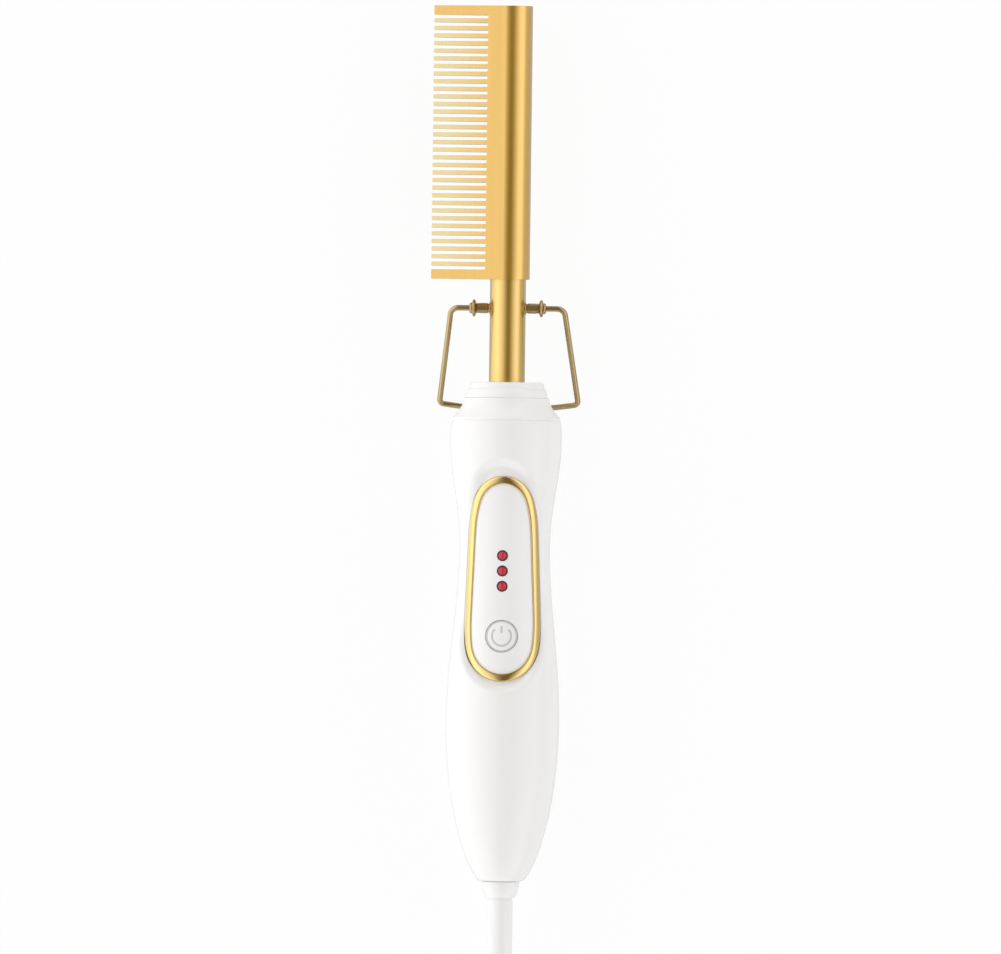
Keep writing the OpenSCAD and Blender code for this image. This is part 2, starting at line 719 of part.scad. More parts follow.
module cord_boot() color("white") lay() rotate_extrude() polygon([
    [0, swivel_foot], [boot_r, swivel_foot], [boot_r, swivel_foot - 0.47 * boot_len],
    [boot_end_r + 0.3, boot_foot + 0.3], [boot_end_r, boot_foot], [0, boot_foot]
]);

brush_in = slip_ring_r + 2 * fit;
brush_out = 7.3;
brush_half_w = 1;
brush_t = 0.6;
brush_top = block_top + 3;
module brush(side, s) {
    x = side > 0 ? brush_in : -brush_out;
    translate([x, -brush_half_w, s - brush_t / 2]) cube([brush_out - brush_in, 2 * brush_half_w, brush_t]);
    tab_x = side > 0 ? brush_out - brush_t : -brush_out;
    translate([tab_x, -brush_half_w, s]) cube([brush_t, 2 * brush_half_w, brush_top - s]);
}
module brush_live() color("peru") lay() brush(-1, ring_live_s);
module brush_neutral() color("peru") lay() brush(1, ring_neutral_s);

module brush_block() color("lightgray") lay() difference() {
    ring(block_r, slip_ring_r + 0.8, block_foot, block_top);
    for (side = [-1, 1]) {
        s = side < 0 ? ring_live_s : ring_neutral_s;
        low_x = side > 0 ? 0 : -brush_out - gap;
        translate([low_x, -brush_half_w - gap, s - brush_t / 2 - gap])
            cube([brush_out + gap, 2 * brush_half_w + 2 * gap, far]);
    }
}

mains_r = 0.9;
mains_x = brush_out + mains_r + fit;
mains_y = board_back + mains_r + fit;
mains_rise = brush_top + 5;
mains_in = screw_low_x - boss_r - mains_r - 0.4; // it passes between the lower bosses
function mains_path(side) = [
    [side * mains_x, 0, brush_top - 2.5], [side * mains_x, 0, mains_rise], [side * mains_in, -1, mains_rise + 10],
    [side * 4, -4, board_low - 10], [side * 4, mains_y, board_low - 2], [side * 4, mains_y, board_low + 7]
];
module mains_lead_live() color("saddlebrown") lay() sweep(mains_path(-1), mains_r);
module mains_lead_neutral() color("royalblue") lay() sweep(mains_path(1), mains_r);

// ---- Mains lead, on the table ----
// Its points are measured from the strain relief's end, along the table and up from it.
exit_y = boot_foot - mid_s;
lead_points = [
    [0, 0, 18.15], [0, -12, 18.15], [-1.5, -25, 17.3], [-5, -38, 14.4], [-10, -51, 10],
    [-15.5, -63, 6], [-19.8, -75, 3.6], [-21.8, -87, 2.75], [-22, -97, 2.75]
];
tail_points = [
    [-22, -159, 19.25], [-22, -168, 19], [-21, -178, 17.8], [-18.3, -188, 15], [-14.5, -197, 11.8],
    [-10.6, -206, 8.8], [-7.8, -214, 7.1], [-7, -220, 6.85], [-7, -226, 6.85]
];
hank_near = -97;      // where the runs of the hank begin
hank_run = 62;        // length of its runs
hank_half_w = 24.75;  // half of its width, which is the radius of its round ends
hank_h = 22;          // four layers of the lead
hank_squeeze = 13.75; // how far the tie draws each side in
hank_steps = 12;      // chords in each side of the hank
cord_sides = 10;
tie_w = 8;            // width of the strap that ties the hank
tie_t = 0.8;          // its thickness

module at_exit() translate([0, exit_y, 0]) children();
module cord_lead() color("white") at_exit() sweep(lead_points, cord_r, cord_sides);
module cord_tail() color("white") at_exit() sweep(tail_points, cord_r, cord_sides);
// The tie draws the runs together, so the hank has a waist between its round ends.
function hank_side(t) = hank_half_w
    - hank_squeeze * ease(0, 1, min(1, hank_run * min(t, 1 - t) / (hank_run - tie_w) * 2));
module cord_hank() color("white") at_exit() difference() {
    linear_extrude(hank_h) {
        polygon(concat(
            [for (i = [0:hank_steps]) let (t = i / hank_steps) [-hank_side(t), hank_near - hank_run * t]],
            [for (i = [hank_steps:-1:0]) let (t = i / hank_steps) [hank_side(t), hank_near - hank_run * t]]
        ));
        for (y = [hank_near, hank_near - hank_run]) translate([0, y]) circle(r = hank_half_w);
    }
    translate([-far, tie_y, -1]) cube([2 * far, tie_w, tie_t + gap + 1]);
}

tie_y = hank_near - (hank_run + tie_w) / 2;
tie_half = hank_half_w - hank_squeeze + gap;
module cord_tie() color("white") at_exit() translate([0, tie_y, 0]) difference() {
    translate([-tie_half - tie_t, 0, 0]) cube([2 * (tie_half + tie_t), tie_w, hank_h + gap + 2 * tie_t]);
    translate([-tie_half, -1, tie_t]) cube([2 * tie_half, tie_w + 2, hank_h + gap]);
}

// ---- Plug ----
tail_end = tail_points[len(tail_points) - 1];
relief_len = 18;
relief_r = 5;
pin_core_r = plug_pin_r - 0.65;   // a pin under its sleeve and in the body
pin_sleeve_r = plug_pin_r - 0.25; // the sleeve, thinner than the pin's bare end
pin_root = 5;                     // depth of the pins and sleeves in the body
pin_nose = 0.8;                   // length of the pins' tapered tips
plug_back = tail_end[1] - relief_len;
plug_face = plug_back - plug_len;
module at_plug() at_exit() translate([tail_end[0], 0, 0]) children();

module plug_body() color("white") at_plug() {
    difference() {
        linear_extrude(plug_t) hull() {
            for (x = [-1, 1]) {
                translate([x * (plug_w / 2 - 2), plug_face + 2]) circle(r = 2, $fn = 32);
                translate([x * (plug_w / 2 - 5), plug_face + 15]) circle(r = 5, $fn = 32);
            }
            translate([0, plug_back - 6]) circle(r = 6, $fn = 32);
        }
        for (x = [-1, 1]) translate([x * plug_pin_gap / 2, plug_face + pin_root, plug_t / 2]) rotate([90, 0, 0])
            cylinder(r = pin_sleeve_r + fit, h = far);
    }
    translate([0, plug_back - 1, plug_t / 2]) rotate([-90, 0, 0])
        cylinder(r1 = relief_r, r2 = cord_r + 0.5, h = relief_len + 1);
}

module pin_tube(r, from, length) translate([0, -from, plug_t / 2]) rotate([90, 0, 0]) cylinder(r = r, h = length);
module plug_pin(side) color("silver") at_plug() translate([side * plug_pin_gap / 2, plug_face, 0]) {
    pin_tube(pin_core_r, -pin_root, pin_sleeve_len + pin_root + eps);
    pin_tube(plug_pin_r, pin_sleeve_len, plug_pin_len - pin_sleeve_len - pin_nose);
    translate([0, pin_nose - plug_pin_len, plug_t / 2]) rotate([90, 0, 0])
        cylinder(r1 = plug_pin_r, r2 = plug_pin_r - pin_nose, h = pin_nose);
}
module plug_pin_left() plug_pin(-1);
module plug_pin_right() plug_pin(1);
module plug_sleeves() color("black") at_plug() for (side = [-1, 1]) translate([side * plug_pin_gap / 2, plug_face, 0])
    difference() {
        pin_tube(pin_sleeve_r, -pin_root, pin_sleeve_len + pin_root - gap);
        pin_tube(pin_core_r + fit, -pin_root - 1, pin_sleeve_len + pin_root + 2);
    }

comb_head();
tip_plug();
heater_plate();
heater_clamp_front();
heater_clamp_rear();
thermistor();
thermal_fuse();
heater_lead_live();
heater_lead_neutral();
sensor_leads();
lead_sleeve();
shank_tube();
shank_flange();
stud_left();
stud_right();
stand_wire();
neck_collar();
shoulder_ring();
front_shell();
rear_shell();
shell_screws();
trim_ring();
control_panel();
power_button();
led_upper();
led_middle();
led_lower();
circuit_board();
board_screws();
switch_body();
switch_plunger();
microcontroller();
triac();
film_capacitor();
electrolytic_capacitor();
power_resistor();
glass_fuse();
brush_block();
brush_live();
brush_neutral();
mains_lead_live();
mains_lead_neutral();
swivel_spool();
slip_ring_live();
slip_ring_neutral();
cord_boot();
cord_lead();
cord_hank();
cord_tail();
cord_tie();
plug_body();
plug_sleeves();
plug_pin_left();
plug_pin_right();
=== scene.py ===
"""Electric hot comb: its visible pieces and their finishes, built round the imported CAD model.

Pieces are drawn in millimetres in the handle's own frame: X to the right, Y along the handle's
axis from the nose to the comb's tip, Z up out of the button, with the axis at zero. settle() puts
a finished piece in its place on the table, in metres.
"""

import math

import bmesh
import bpy
from mathutils import Matrix, Vector


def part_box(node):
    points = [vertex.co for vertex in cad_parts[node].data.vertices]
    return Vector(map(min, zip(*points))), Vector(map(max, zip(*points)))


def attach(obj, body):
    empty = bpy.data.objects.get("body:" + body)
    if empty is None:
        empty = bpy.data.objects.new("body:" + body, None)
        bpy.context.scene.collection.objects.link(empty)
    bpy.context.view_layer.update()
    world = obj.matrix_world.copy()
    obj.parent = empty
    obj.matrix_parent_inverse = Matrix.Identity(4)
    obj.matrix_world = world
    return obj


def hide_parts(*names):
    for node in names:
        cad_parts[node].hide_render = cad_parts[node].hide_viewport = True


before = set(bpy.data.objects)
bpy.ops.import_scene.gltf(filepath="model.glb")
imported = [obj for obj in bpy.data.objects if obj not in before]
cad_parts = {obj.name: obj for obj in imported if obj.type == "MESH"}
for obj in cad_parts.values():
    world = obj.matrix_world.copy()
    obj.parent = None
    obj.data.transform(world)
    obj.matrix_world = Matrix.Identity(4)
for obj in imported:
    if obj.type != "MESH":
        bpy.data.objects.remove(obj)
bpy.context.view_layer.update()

MM = 0.001
NOSE_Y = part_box("front_shell")[0].y
AXIS_Z = (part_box("shank_tube")[0].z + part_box("shank_tube")[1].z) / 2
SETTLE = Matrix.Translation((0, NOSE_Y, AXIS_Z)) @ Matrix.Scale(MM, 4)

# ---- Sizes, in millimetres, as in the part's source ----
BODY_LEN = 147.4
NOSE_R, BELLY_R, WAIST_R, CROWN_R, RIM_R = 6.9, 18.15, 14.5, 17.85, 17.3
BELLY_S, WAIST_S, CROWN_S = 51.5, 107.5, 141.0
WALL = 2.4
COLLAR_S = 154.6
COMB_S, COMB_TIP, PIVOT_S = 192.5, 280.0, 183.3
BARREL_R, TOOTH_REACH, TIP_T = 6.9, 24.7, 1.5
SLOT_COUNT, SLOT_PITCH, SLOT_W, SLOT_ROOT = 34, 2.435, 1.08, 7.2
SAWN_LEN = SLOT_PITCH * (SLOT_COUNT - 1)  # from the first slot to the last
SHANK_R, SHANK_BORE_R, SHANK_FOOT, SOCKET_TOP = 5.75, 4.5, 134.0, 204.5
STUD_R, STUD_COLLAR_R, STUD_END_X = 1.65, 2.85, 12.2
WIRE_R, STAND_TOP_X, STAND_FOOT_X, STAND_LEG, STAND_BOW = 0.9, 18.1, 22.3, 34.6, 2.0
WIRE_BEND, FOOT_BEND = 2.6, 1.5
STAND_TILT = math.asin((BELLY_R - WIRE_R) / (STAND_LEG + STAND_BOW))
PANEL_R, PANEL_T, TRIM_W, SEAT_R = 15.0, 1.6, 2.6, 13.3
TRIM_CIRCLES = ((0, 119.7, 10.0), (0, 114.3, 11.1), (0, 81.5, 12.4), (0, 76.0, 12.1))  # x, station, radius
BUTTON_S, BUTTON_R, BUTTON_HOLE_R = 78.5, 5.0, 5.13
LED_S, LED_PITCH, LED_R = 104.2, 4.88, 1.75
LENS_EDGE, LENS_FLANGE, LENS_BASE = 13.95, 10.2, 9.2  # heights of a light's dome, flange and base
SWIVEL_FOOT, BOOT_END = -5.4, -45.0
CORD_R = 2.75
SCREWS = ((-9.5, 40.0), (9.5, 40.0), (-8.5, 132.0), (8.5, 132.0))


def ease(a, b, t):
    return a + (b - a) * (1 - math.cos(math.pi * min(1, max(0, t)))) / 2


def handle_r(s):
    if s <= 0:
        return NOSE_R
    if s <= BELLY_S:
        return NOSE_R + (BELLY_R - NOSE_R) * (1 - (1 - s / BELLY_S) ** 2.08) ** 0.72
    if s <= WAIST_S:
        return ease(BELLY_R, WAIST_R, (s - BELLY_S) / (WAIST_S - BELLY_S))
    if s <= CROWN_S:
        return ease(WAIST_R, CROWN_R, (s - WAIST_S) / (CROWN_S - WAIST_S))
    return CROWN_R - (CROWN_R - RIM_R) * ((s - CROWN_S) / (BODY_LEN - CROWN_S)) ** 4


# ---- Camera, straight above the panel and a little to its right ----
IMAGE_W = 1001
PX = 0.32 * MM  # what one pixel of the image covers at the handle's axis
camera_data = bpy.data.cameras.new("camera")
camera_data.sensor_width = 36
camera_data.sensor_fit = "HORIZONTAL"
camera_data.lens = 600
camera_data.clip_start, camera_data.clip_end = 0.5, 200
camera = bpy.data.objects.new("camera", camera_data)
bpy.context.scene.collection.objects.link(camera)
bpy.context.scene.camera = camera
AIM_X, AIM_S = -1.64, 129.3  # the point in the middle of the image, in millimetres
CAMERA_LEAN, CAMERA_ROLL = 2.6, 0.73  # degrees off straight above, to the right, and turned in the image
aim = Vector((AIM_X * MM, NOSE_Y + AIM_S * MM, AXIS_Z))
turn = (Matrix.Rotation(math.radians(CAMERA_LEAN), 4, "Y")
        @ Matrix.Rotation(math.radians(CAMERA_ROLL), 4, "Z"))
camera_far = IMAGE_W * PX * camera_data.lens / camera_data.sensor_width
camera.matrix_world = Matrix.Translation(aim) @ turn @ Matrix.Translation((0, 0, camera_far))


# ---- The mains lead: 1.8 m, which leaves the strain relief and is folded into a tied hank ----
def hank_points():
    """Centre line of the lead, in millimetres from the strain relief's end, on the table."""
    near, run = -97.0, 62.0  # where the straight runs start, and their length
    half_tie, squeeze = 4.0, 13.75  # half the tie's width, and how far it draws the runs inwards
    strap, slope = 0.9, 8  # thickness of the tie under the hank, and the length over which turns rise to it
    far, layer = near - run, 2 * CORD_R
    radii = (16.5, 22.0)
    laps = ((0, 1), (0, 0), (1, 0), (1, 1), (2, 0), (2, 1), (3, 1))  # layer and column of each turn
    steps = 12  # of each straight run and of each end

    def inset(y):
        return squeeze * ease(0, 1, min(near - y, y - far) / (run / 2 - half_tie))

    def lift(y, level):  # the strap runs under the hank, so the lowest turns rise over it
        return strap * ease(1, 0, (abs(y - near + run / 2) - half_tie) / slope) if level == 0 else 0.0

    def straight(side, start, way, lap):
        """One run of a turn. side is -1 on the left, and way is -1 away from the handle."""
        level, column = lap
        line = []
        for i in range(steps + 1):
            y = start + way * run * i / steps
            line.append((side * (radii[column] - inset(y)), y, CORD_R + layer * level + lift(y, level)))
        return line

    points = [
        (0, 0, 18.15), (0, -12, 18.15), (-1.5, -25, 17.3), (-5, -38, 14.4), (-10, -51, 10),
        (-15.5, -63, 6), (-19.8, -75, 3.6), (-21.8, -87, 2.75),
    ]
    for lap, next_lap in zip(laps, laps[1:]):
        r, next_r = radii[lap[1]], radii[next_lap[1]]
        z, next_z = CORD_R + layer * lap[0], CORD_R + layer * next_lap[0]
        points += straight(-1, near, -1, lap)
        for i in range(1, steps):
            a = math.pi * i / steps
            points.append((-r * math.cos(a), far - r * math.sin(a), z))
        points += straight(1, far, 1, lap)
        for i in range(1, steps):  # the near end climbs in its first half and changes width in its second
            t = i / steps
            reach = ease(r, next_r, (t - 0.5) / 0.5)
            a = math.pi * t
            points.append((reach * math.cos(a), near + reach * math.sin(a), ease(z, next_z, t / 0.45)))
    points += straight(-1, near, -1, laps[-1])
    points += [
        (-22, -168, 19), (-21, -178, 17.8), (-18.3, -188, 15), (-14.5, -197, 11.8),
        (-10.6, -206, 8.8), (-7.8, -214, 7.1), (-7, -220, 6.85), (-7, -226, 6.85),
    ]
    return points


def curve_piece(name, points, radius, rings):
    """A round wire or cord along points in millimetres of the handle's frame."""
    data = bpy.data.curves.new(name, "CURVE")
    data.dimensions = "3D"
    data.bevel_depth = 1.0  # the knots' own radius gives the thickness
    data.bevel_resolution = rings
    data.use_fill_caps = True
    spline = data.splines.new("POLY")
    spline.points.add(len(points) - 1)
    for knot, place in zip(spline.points, points):
        knot.co = (*(SETTLE @ Vector(place)), 1)
        knot.radius = radius * MM
    spline.use_smooth = True
    piece = bpy.data.objects.new(name, data)
    bpy.context.scene.collection.objects.link(piece)
    return piece


def smoothed(points, cuts=3):
    """A Catmull-Rom line through the points, with cuts pieces between two of them."""
    line = []
    pts = [Vector(p) for p in points]
    for i in range(len(pts) - 1):
        a, b, c, d = pts[max(i - 1, 0)], pts[i], pts[i + 1], pts[min(i + 2, len(pts) - 1)]
        for k in range(cuts):
            t = k / cuts
            line.append(
                0.5 * (2 * b + (c - a) * t + (2 * a - 5 * b + 4 * c - d) * t * t
                       + (3 * b - a - 3 * c + d) * t * t * t)
            )
    return line + [pts[-1]]


# The table is BELLY_R under the axis.
lead_line = [(x, BOOT_END + y, z - BELLY_R) for x, y, z in smoothed(hank_points())]
mains_cord = curve_piece("mains_cord", lead_line, CORD_R, rings=5)
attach(mains_cord, "handle")
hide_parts("cord_lead", "cord_hank", "cord_tail")


# ---- The workbench: operators in edit mode on the one piece that is being made ----
def fresh(operator, name, **settings):
    """Adds a primitive with everything else deselected."""
    bpy.ops.object.select_all(action="DESELECT")
    operator(**settings)
    piece = bpy.context.object
    piece.name = piece.data.name = name
    bpy.ops.object.transform_apply(location=True, rotation=True, scale=True)
    return piece


def alone(piece):
    if bpy.context.object and bpy.context.object.mode == "EDIT":
        bpy.ops.object.mode_set(mode="OBJECT")
    bpy.ops.object.select_all(action="DESELECT")
    bpy.context.view_layer.objects.active = piece
    piece.select_set(True)


def edit(piece):
    alone(piece)
    bpy.ops.object.mode_set(mode="EDIT")
    bpy.ops.mesh.select_mode(type="VERT")
    bpy.ops.mesh.select_all(action="DESELECT")


def done():
    bpy.ops.object.mode_set(mode="OBJECT")


def pick_all():
    bpy.ops.mesh.select_all(action="SELECT")


def done_outwards():
    """Turns every face of the piece in edit mode outwards, and leaves edit mode."""
    pick_all()
    bpy.ops.mesh.normals_make_consistent(inside=False)
    done()


def pick(kind, test):
    """Selects the corners, edges or faces of the piece in edit mode whose middle passes the test."""
    bpy.ops.mesh.select_all(action="DESELECT")
    bpy.ops.mesh.select_mode(type=kind)
    mesh = bmesh.from_edit_mesh(bpy.context.object.data)
    for item in {"VERT": mesh.verts, "EDGE": mesh.edges, "FACE": mesh.faces}[kind]:
        if kind == "FACE":
            middle = item.calc_center_median()
        elif kind == "EDGE":
            middle = (item.verts[0].co + item.verts[1].co) / 2
        else:
            middle = item.co
        if test(middle, item):
            item.select_set(True)
    mesh.select_flush_mode()
    bmesh.update_edit_mesh(bpy.context.object.data)


def move(x=0.0, y=0.0, z=0.0):
    bpy.ops.transform.translate(value=(x, y, z))


def apply_modifier(piece, kind, **settings):
    alone(piece)
    modifier = piece.modifiers.new(kind.lower(), kind)
    for key, value in settings.items():
        setattr(modifier, key, value)
    bpy.ops.object.modifier_apply(modifier=modifier.name)


def cut(piece, cutter, operation="DIFFERENCE"):
    apply_modifier(piece, "BOOLEAN", operation=operation, object=cutter, solver="EXACT")
    bpy.data.objects.remove(cutter)


def join(pieces):
    alone(pieces[0])
    for piece in pieces:
        piece.select_set(True)
    bpy.ops.object.join()
    return pieces[0]


def soften(piece, width, segments=2, angle=30):
    apply_modifier(piece, "BEVEL", width=width, segments=segments, limit_method="ANGLE",
                   angle_limit=math.radians(angle))


def shade(piece, angle=35, flat=False):
    """Smooth shading up to an angle; flat keeps broad flat faces flat beside small roundings."""
    alone(piece)
    bpy.ops.object.shade_smooth_by_angle(angle=math.radians(angle))
    if flat:
        apply_modifier(piece, "WEIGHTED_NORMAL", keep_sharp=True, weight=80)


AXES = {"X": (1, 0, 0), "Y": (0, 1, 0), "Z": (0, 0, 1)}


def turned(name, profile, axis="Y", at=(0, 0, 0), steps=96, closed=False, angle=360.0):
    """A piece turned on a lathe. profile lists (radius, distance along the axis); the first point
    is drawn out to the rest, and the line is spun round the axis through at."""
    out = Vector(AXES["Z" if axis == "X" else "X"])
    along = Vector(AXES[axis])
    place = Vector(at)
    line = [place + out * r + along * d for r, d in profile]
    piece = fresh(bpy.ops.mesh.primitive_plane_add, name, size=1)
    edit(piece)
    pick_all()
    bpy.ops.mesh.merge(type="CENTER")
    move(*line[0])
    for here, there in zip(line, line[1:]):
        bpy.ops.mesh.extrude_vertices_move(TRANSFORM_OT_translate={"value": tuple(there - here)})
    if closed:
        ends = (line[0], line[-1])
        pick("VERT", lambda middle, item: min((middle - end).length for end in ends) < 1e-5)
        bpy.ops.mesh.edge_face_add()
    pick_all()
    bpy.ops.mesh.spin(steps=steps, angle=math.radians(angle), center=at, axis=AXES[axis])
    pick_all()
    bpy.ops.mesh.remove_doubles(threshold=1e-4)
    done_outwards()
    return piece


def settle(piece, body, finish, replaces=(), angle=35, flat=False):
    """Puts a finished piece in its place in the row's frame and on its body."""
    shade(piece, angle, flat)
    piece.data.transform(SETTLE)
    piece.data.materials.clear()
    piece.data.materials.append(finish)
    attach(piece, body)
    if replaces:
        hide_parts(*replaces)
    return piece


# ---- Outlines: the hull of a few circles, seen from above ----
EASED_AWAY = 0.2  # what averaging takes off the round ends
BEND_R = 26.0  # the trim and the panel are drawn unrolled, and get narrower as they are bent to this radius
HULL_SIDES, HULL_SPACING = 180, 1.0  # corners round a circle, and the spacing along a straight side
EASED_SPACING, EASED_PASSES = 0.5, 50  # spacing of the averaged points, and how often they are averaged


def directions(count):
    """Unit directions (x, station) in count even steps round a circle."""
    return [(math.cos(math.tau * k / count), math.sin(math.tau * k / count)) for k in range(count)]


def hull_points(circles, grow):
    """Points round the hull of circles (x, station, radius), with its long sides divided."""
    corners = []
    for nx, ns in directions(HULL_SIDES):
        x, station, r = max(circles, key=lambda c: c[0] * nx + c[1] * ns + c[2])
        corners.append(Vector((x + (r + grow) * nx, station + (r + grow) * ns)))
    points = []
    for a, b in zip(corners, corners[1:] + corners[:1]):
        parts = max(1, round((b - a).length / HULL_SPACING))
        points += [a.lerp(b, i / parts) for i in range(parts)]
    return points


def eased_points(points):
    """The points evenly spaced and averaged, so that arcs and sides run into each other softly."""
    ends = points[1:] + points[:1]
    around = sum((b - a).length for a, b in zip(points, ends))
    count = round(around / EASED_SPACING)
    line, walked, k = [], 0.0, 0
    for a, b in zip(points, ends):
        span = (b - a).length
        while k < count and k * around / count < walked + span:
            line.append(a.lerp(b, (k * around / count - walked) / span))
            k += 1
        walked += span
    for _ in range(EASED_PASSES):
        line = [(line[i - 1] + 2 * line[i] + line[(i + 1) % count]) / 4 for i in range(count)]
    return line


def outline_plate(name, grow, top, bottom=None, circles=TRIM_CIRCLES, soft=True, unrolled=False):
    """A flat face in the outline's shape at height top, drawn down to bottom where one is given.
    unrolled draws it as it lies before it is bent round the handle."""
    if soft:
        (x0, s0, r0), *between, (x1, s1, r1) = circles
        longer = ((x0, s0 + EASED_AWAY, r0), *between, (x1, s1 - EASED_AWAY, r1))
        points = eased_points(hull_points(longer, grow))
    else:
        points = hull_points(circles, grow)
    if unrolled:
        points = [Vector((BEND_R * math.asin(p.x / BEND_R), p.y)) for p in points]
    plate = fresh(bpy.ops.mesh.primitive_circle_add, name, vertices=len(points), radius=1, fill_type="NGON")
    for corner, point in zip(plate.data.vertices, points):
        corner.co = (point.x, point.y, top)
    if bottom is not None:
        edit(plate)
        pick_all()
        bpy.ops.mesh.extrude_region_move(TRANSFORM_OT_translate={"value": (0, 0, bottom - top)})
        done_outwards()
    return plate


def in_strips(piece, half, step):
    """Cuts a flat piece in strips along the handle, so that it can follow the round."""
    edit(piece)
    count = math.floor(half / step)
    for i in range(-count, count + 1):
        pick_all()
        bpy.ops.mesh.bisect(plane_co=(i * step, 0, 0), plane_no=(1, 0, 0))
    done()


def lay_round(piece, radius, above=-99.0, bent=False):
    """Lays a flat piece on the round: a height of 0 comes to lie on the radius. A bent piece is an
    unrolled one, which gets narrower as it is bent."""
    for corner in piece.data.vertices:
        if bent:
            corner.co.x = BEND_R * math.sin(corner.co.x / BEND_R)
        x, s, h = corner.co
        if h > above:
            corner.co.z = math.sqrt(max(0.01, (radius + h) ** 2 - x * x))


def rod(name, radius, x, s, low, high, vertices=48):
    """A round bar along Z."""
    return fresh(bpy.ops.mesh.primitive_cylinder_add, name, vertices=vertices, radius=radius,
                 depth=high - low, location=(x, s, (low + high) / 2))


# ---- Finishes ----
def paint(code):
    """Linear colour of an sRGB hex value."""
    parts = [int(code[i:i + 2], 16) / 255 for i in (1, 3, 5)]
    return (*(c / 12.92 if c <= 0.04045 else ((c + 0.055) / 1.055) ** 2.4 for c in parts), 1)


def add(tree, kind, inputs=None, **settings):
    """Adds a node. inputs gives its sockets a value or another node's output."""
    node = tree.nodes.new(kind)
    for key, value in settings.items():
        setattr(node, key, value)
    for key, value in (inputs or {}).items():
        if isinstance(value, bpy.types.NodeSocket):
            tree.links.new(value, node.inputs[key])
        else:
            node.inputs[key].default_value = value
    return node


NOISE_LOW, NOISE_HIGH = 0.3, 0.7  # nearly all of the noise lies between these


def finish(name, tones, rough, grain, bump, **sockets):
    """A material whose colour, roughness and relief vary with one noise.
    grain is the noise's size in millimetres along X, Y and Z, and bump the relief's depth in them.
    sockets are set on the shader itself."""
    material = bpy.data.materials.new(name)
    material.use_nodes = True
    tree = material.node_tree
    shader = tree.nodes["Principled BSDF"]
    for key, value in sockets.items():
        shader.inputs[key.replace("_", " ")].default_value = value
    place = add(tree, "ShaderNodeTexCoord").outputs["Object"]
    scaled = add(tree, "ShaderNodeMapping", {"Vector": place, "Scale": [1 / (g * MM) for g in grain]})
    noise = add(tree, "ShaderNodeTexNoise", {"Vector": scaled.outputs[0], "Scale": 1.0, "Detail": 2.0})
    value = noise.outputs["Fac"]
    colour = add(tree, "ShaderNodeMix", {"Factor": value, "A": paint(tones[0]), "B": paint(tones[1])},
                 data_type="RGBA")
    tree.links.new(colour.outputs["Result"], shader.inputs["Base Color"])
    spread = add(tree, "ShaderNodeMapRange", {"Value": value, "From Min": NOISE_LOW, "From Max": NOISE_HIGH,
                                              "To Min": rough[0], "To Max": rough[1]})
    tree.links.new(spread.outputs[0], shader.inputs["Roughness"])
    if bump:
        relief = add(tree, "ShaderNodeBump", {"Height": value, "Distance": bump * MM, "Strength": 1.0})
        tree.links.new(relief.outputs[0], shader.inputs["Normal"])
    return material


# Metals of a gold colour lie under a clear skin: a sealed oxide, a plating's topcoat or a lacquer.
SKIN_ROUGH, UNDER_SKIN = 0.11, (0.7, 0.85, 1.0, 1.0)  # the metal's own edges turn a little cool under it


def skinned(name, tones, rough, grain, bump, skin_ior):
    """A metal under its clear skin. The skin mirrors the light uncoloured, which is set stronger than on
    a real one, so that lit zones look pale and shaded ones brown."""
    return finish(name, tones, rough, grain, bump, Metallic=1.0, Coat_Weight=1.0, Coat_IOR=skin_ior,
                  Coat_Roughness=SKIN_ROUGH, Specular_Tint=UNDER_SKIN)


# ABS from a polished mould is glossy, and its wall has slow, shallow waves.
gloss_abs = finish("moulded_gloss_abs", ("#f8f8f7", "#f6f6f6"), (0.2, 0.26), (3, 9, 3), 0.004, IOR=1.53)
# Heat-proof PBT from a finely sparked mould is the same white, with softer highlights.
satin_pbt = finish("moulded_satin_pbt", ("#f8f8f7", "#f5f5f5"), (0.32, 0.42), (0.6, 0.6, 0.6), 0.004,
                   IOR=1.57)
# Anodising keeps the lines of the extrusion: satin, with long faint streaks.
anodised_gold = skinned("extruded_anodised_aluminium", ("#e6b32c", "#dfac26"), (0.34, 0.4),
                        (0.6, 60, 0.6), 0.0003, 2.16)
# Plate on a brushed tube is a little brighter than the comb, with fine lines along it.
plated_gold = skinned("plated_steel_tube", ("#dbb02e", "#d4a928"), (0.33, 0.38), (0.6, 30, 0.6), 0.0003, 2.26)
# Wire drawn through a die and lacquered is an even, darker brass.
brass = skinned("drawn_brass_wire", ("#aa8c3a", "#a28434"), (0.3, 0.36), (1, 4, 4), 0.0006, 2.1)
# Brass from a lathe keeps fine rings under its lacquer.
stud_brass = skinned("turned_brass", ("#a88630", "#9e7c2a"), (0.3, 0.36), (0.2, 1, 1), 0.0006, 2.1)
# Plate on a polished moulding is the brightest gold, and mirrors the studio most sharply.
trim_gold = skinned("plated_trim", ("#e0bc58", "#dab552"), (0.17, 0.2), (2, 2, 2), 0.0, 2.26)
# Pad-printed ink is flat and duller than the plastic under it.
grey_ink = finish("pad_printed_ink", ("#d2d2d5", "#c6c6ca"), (0.4, 0.5), (0.3, 0.3, 0.3), 0.002)
# PVC drawn over a lead's cores has a soft shine and is slightly uneven.
flex_pvc = finish("extruded_pvc", ("#f4f4f2", "#f0f0ee"), (0.36, 0.46), (1.2, 1.2, 1.2), 0.01, IOR=1.53)
# Moulded PVC is smoother than the drawn sheath, and a little glossier.
boot_pvc = finish("moulded_pvc", ("#f7f7f6", "#f4f4f4"), (0.3, 0.38), (1, 4, 1), 0.006, IOR=1.53)
# Zinc plate on pressed or headed steel has a soft, cloudy spangle.
screw_steel = finish("zinc_plated_steel", ("#b9bcc0", "#a5a8ad"), (0.25, 0.4), (0.3, 0.3, 0.3), 0.002,
                     Metallic=1.0)

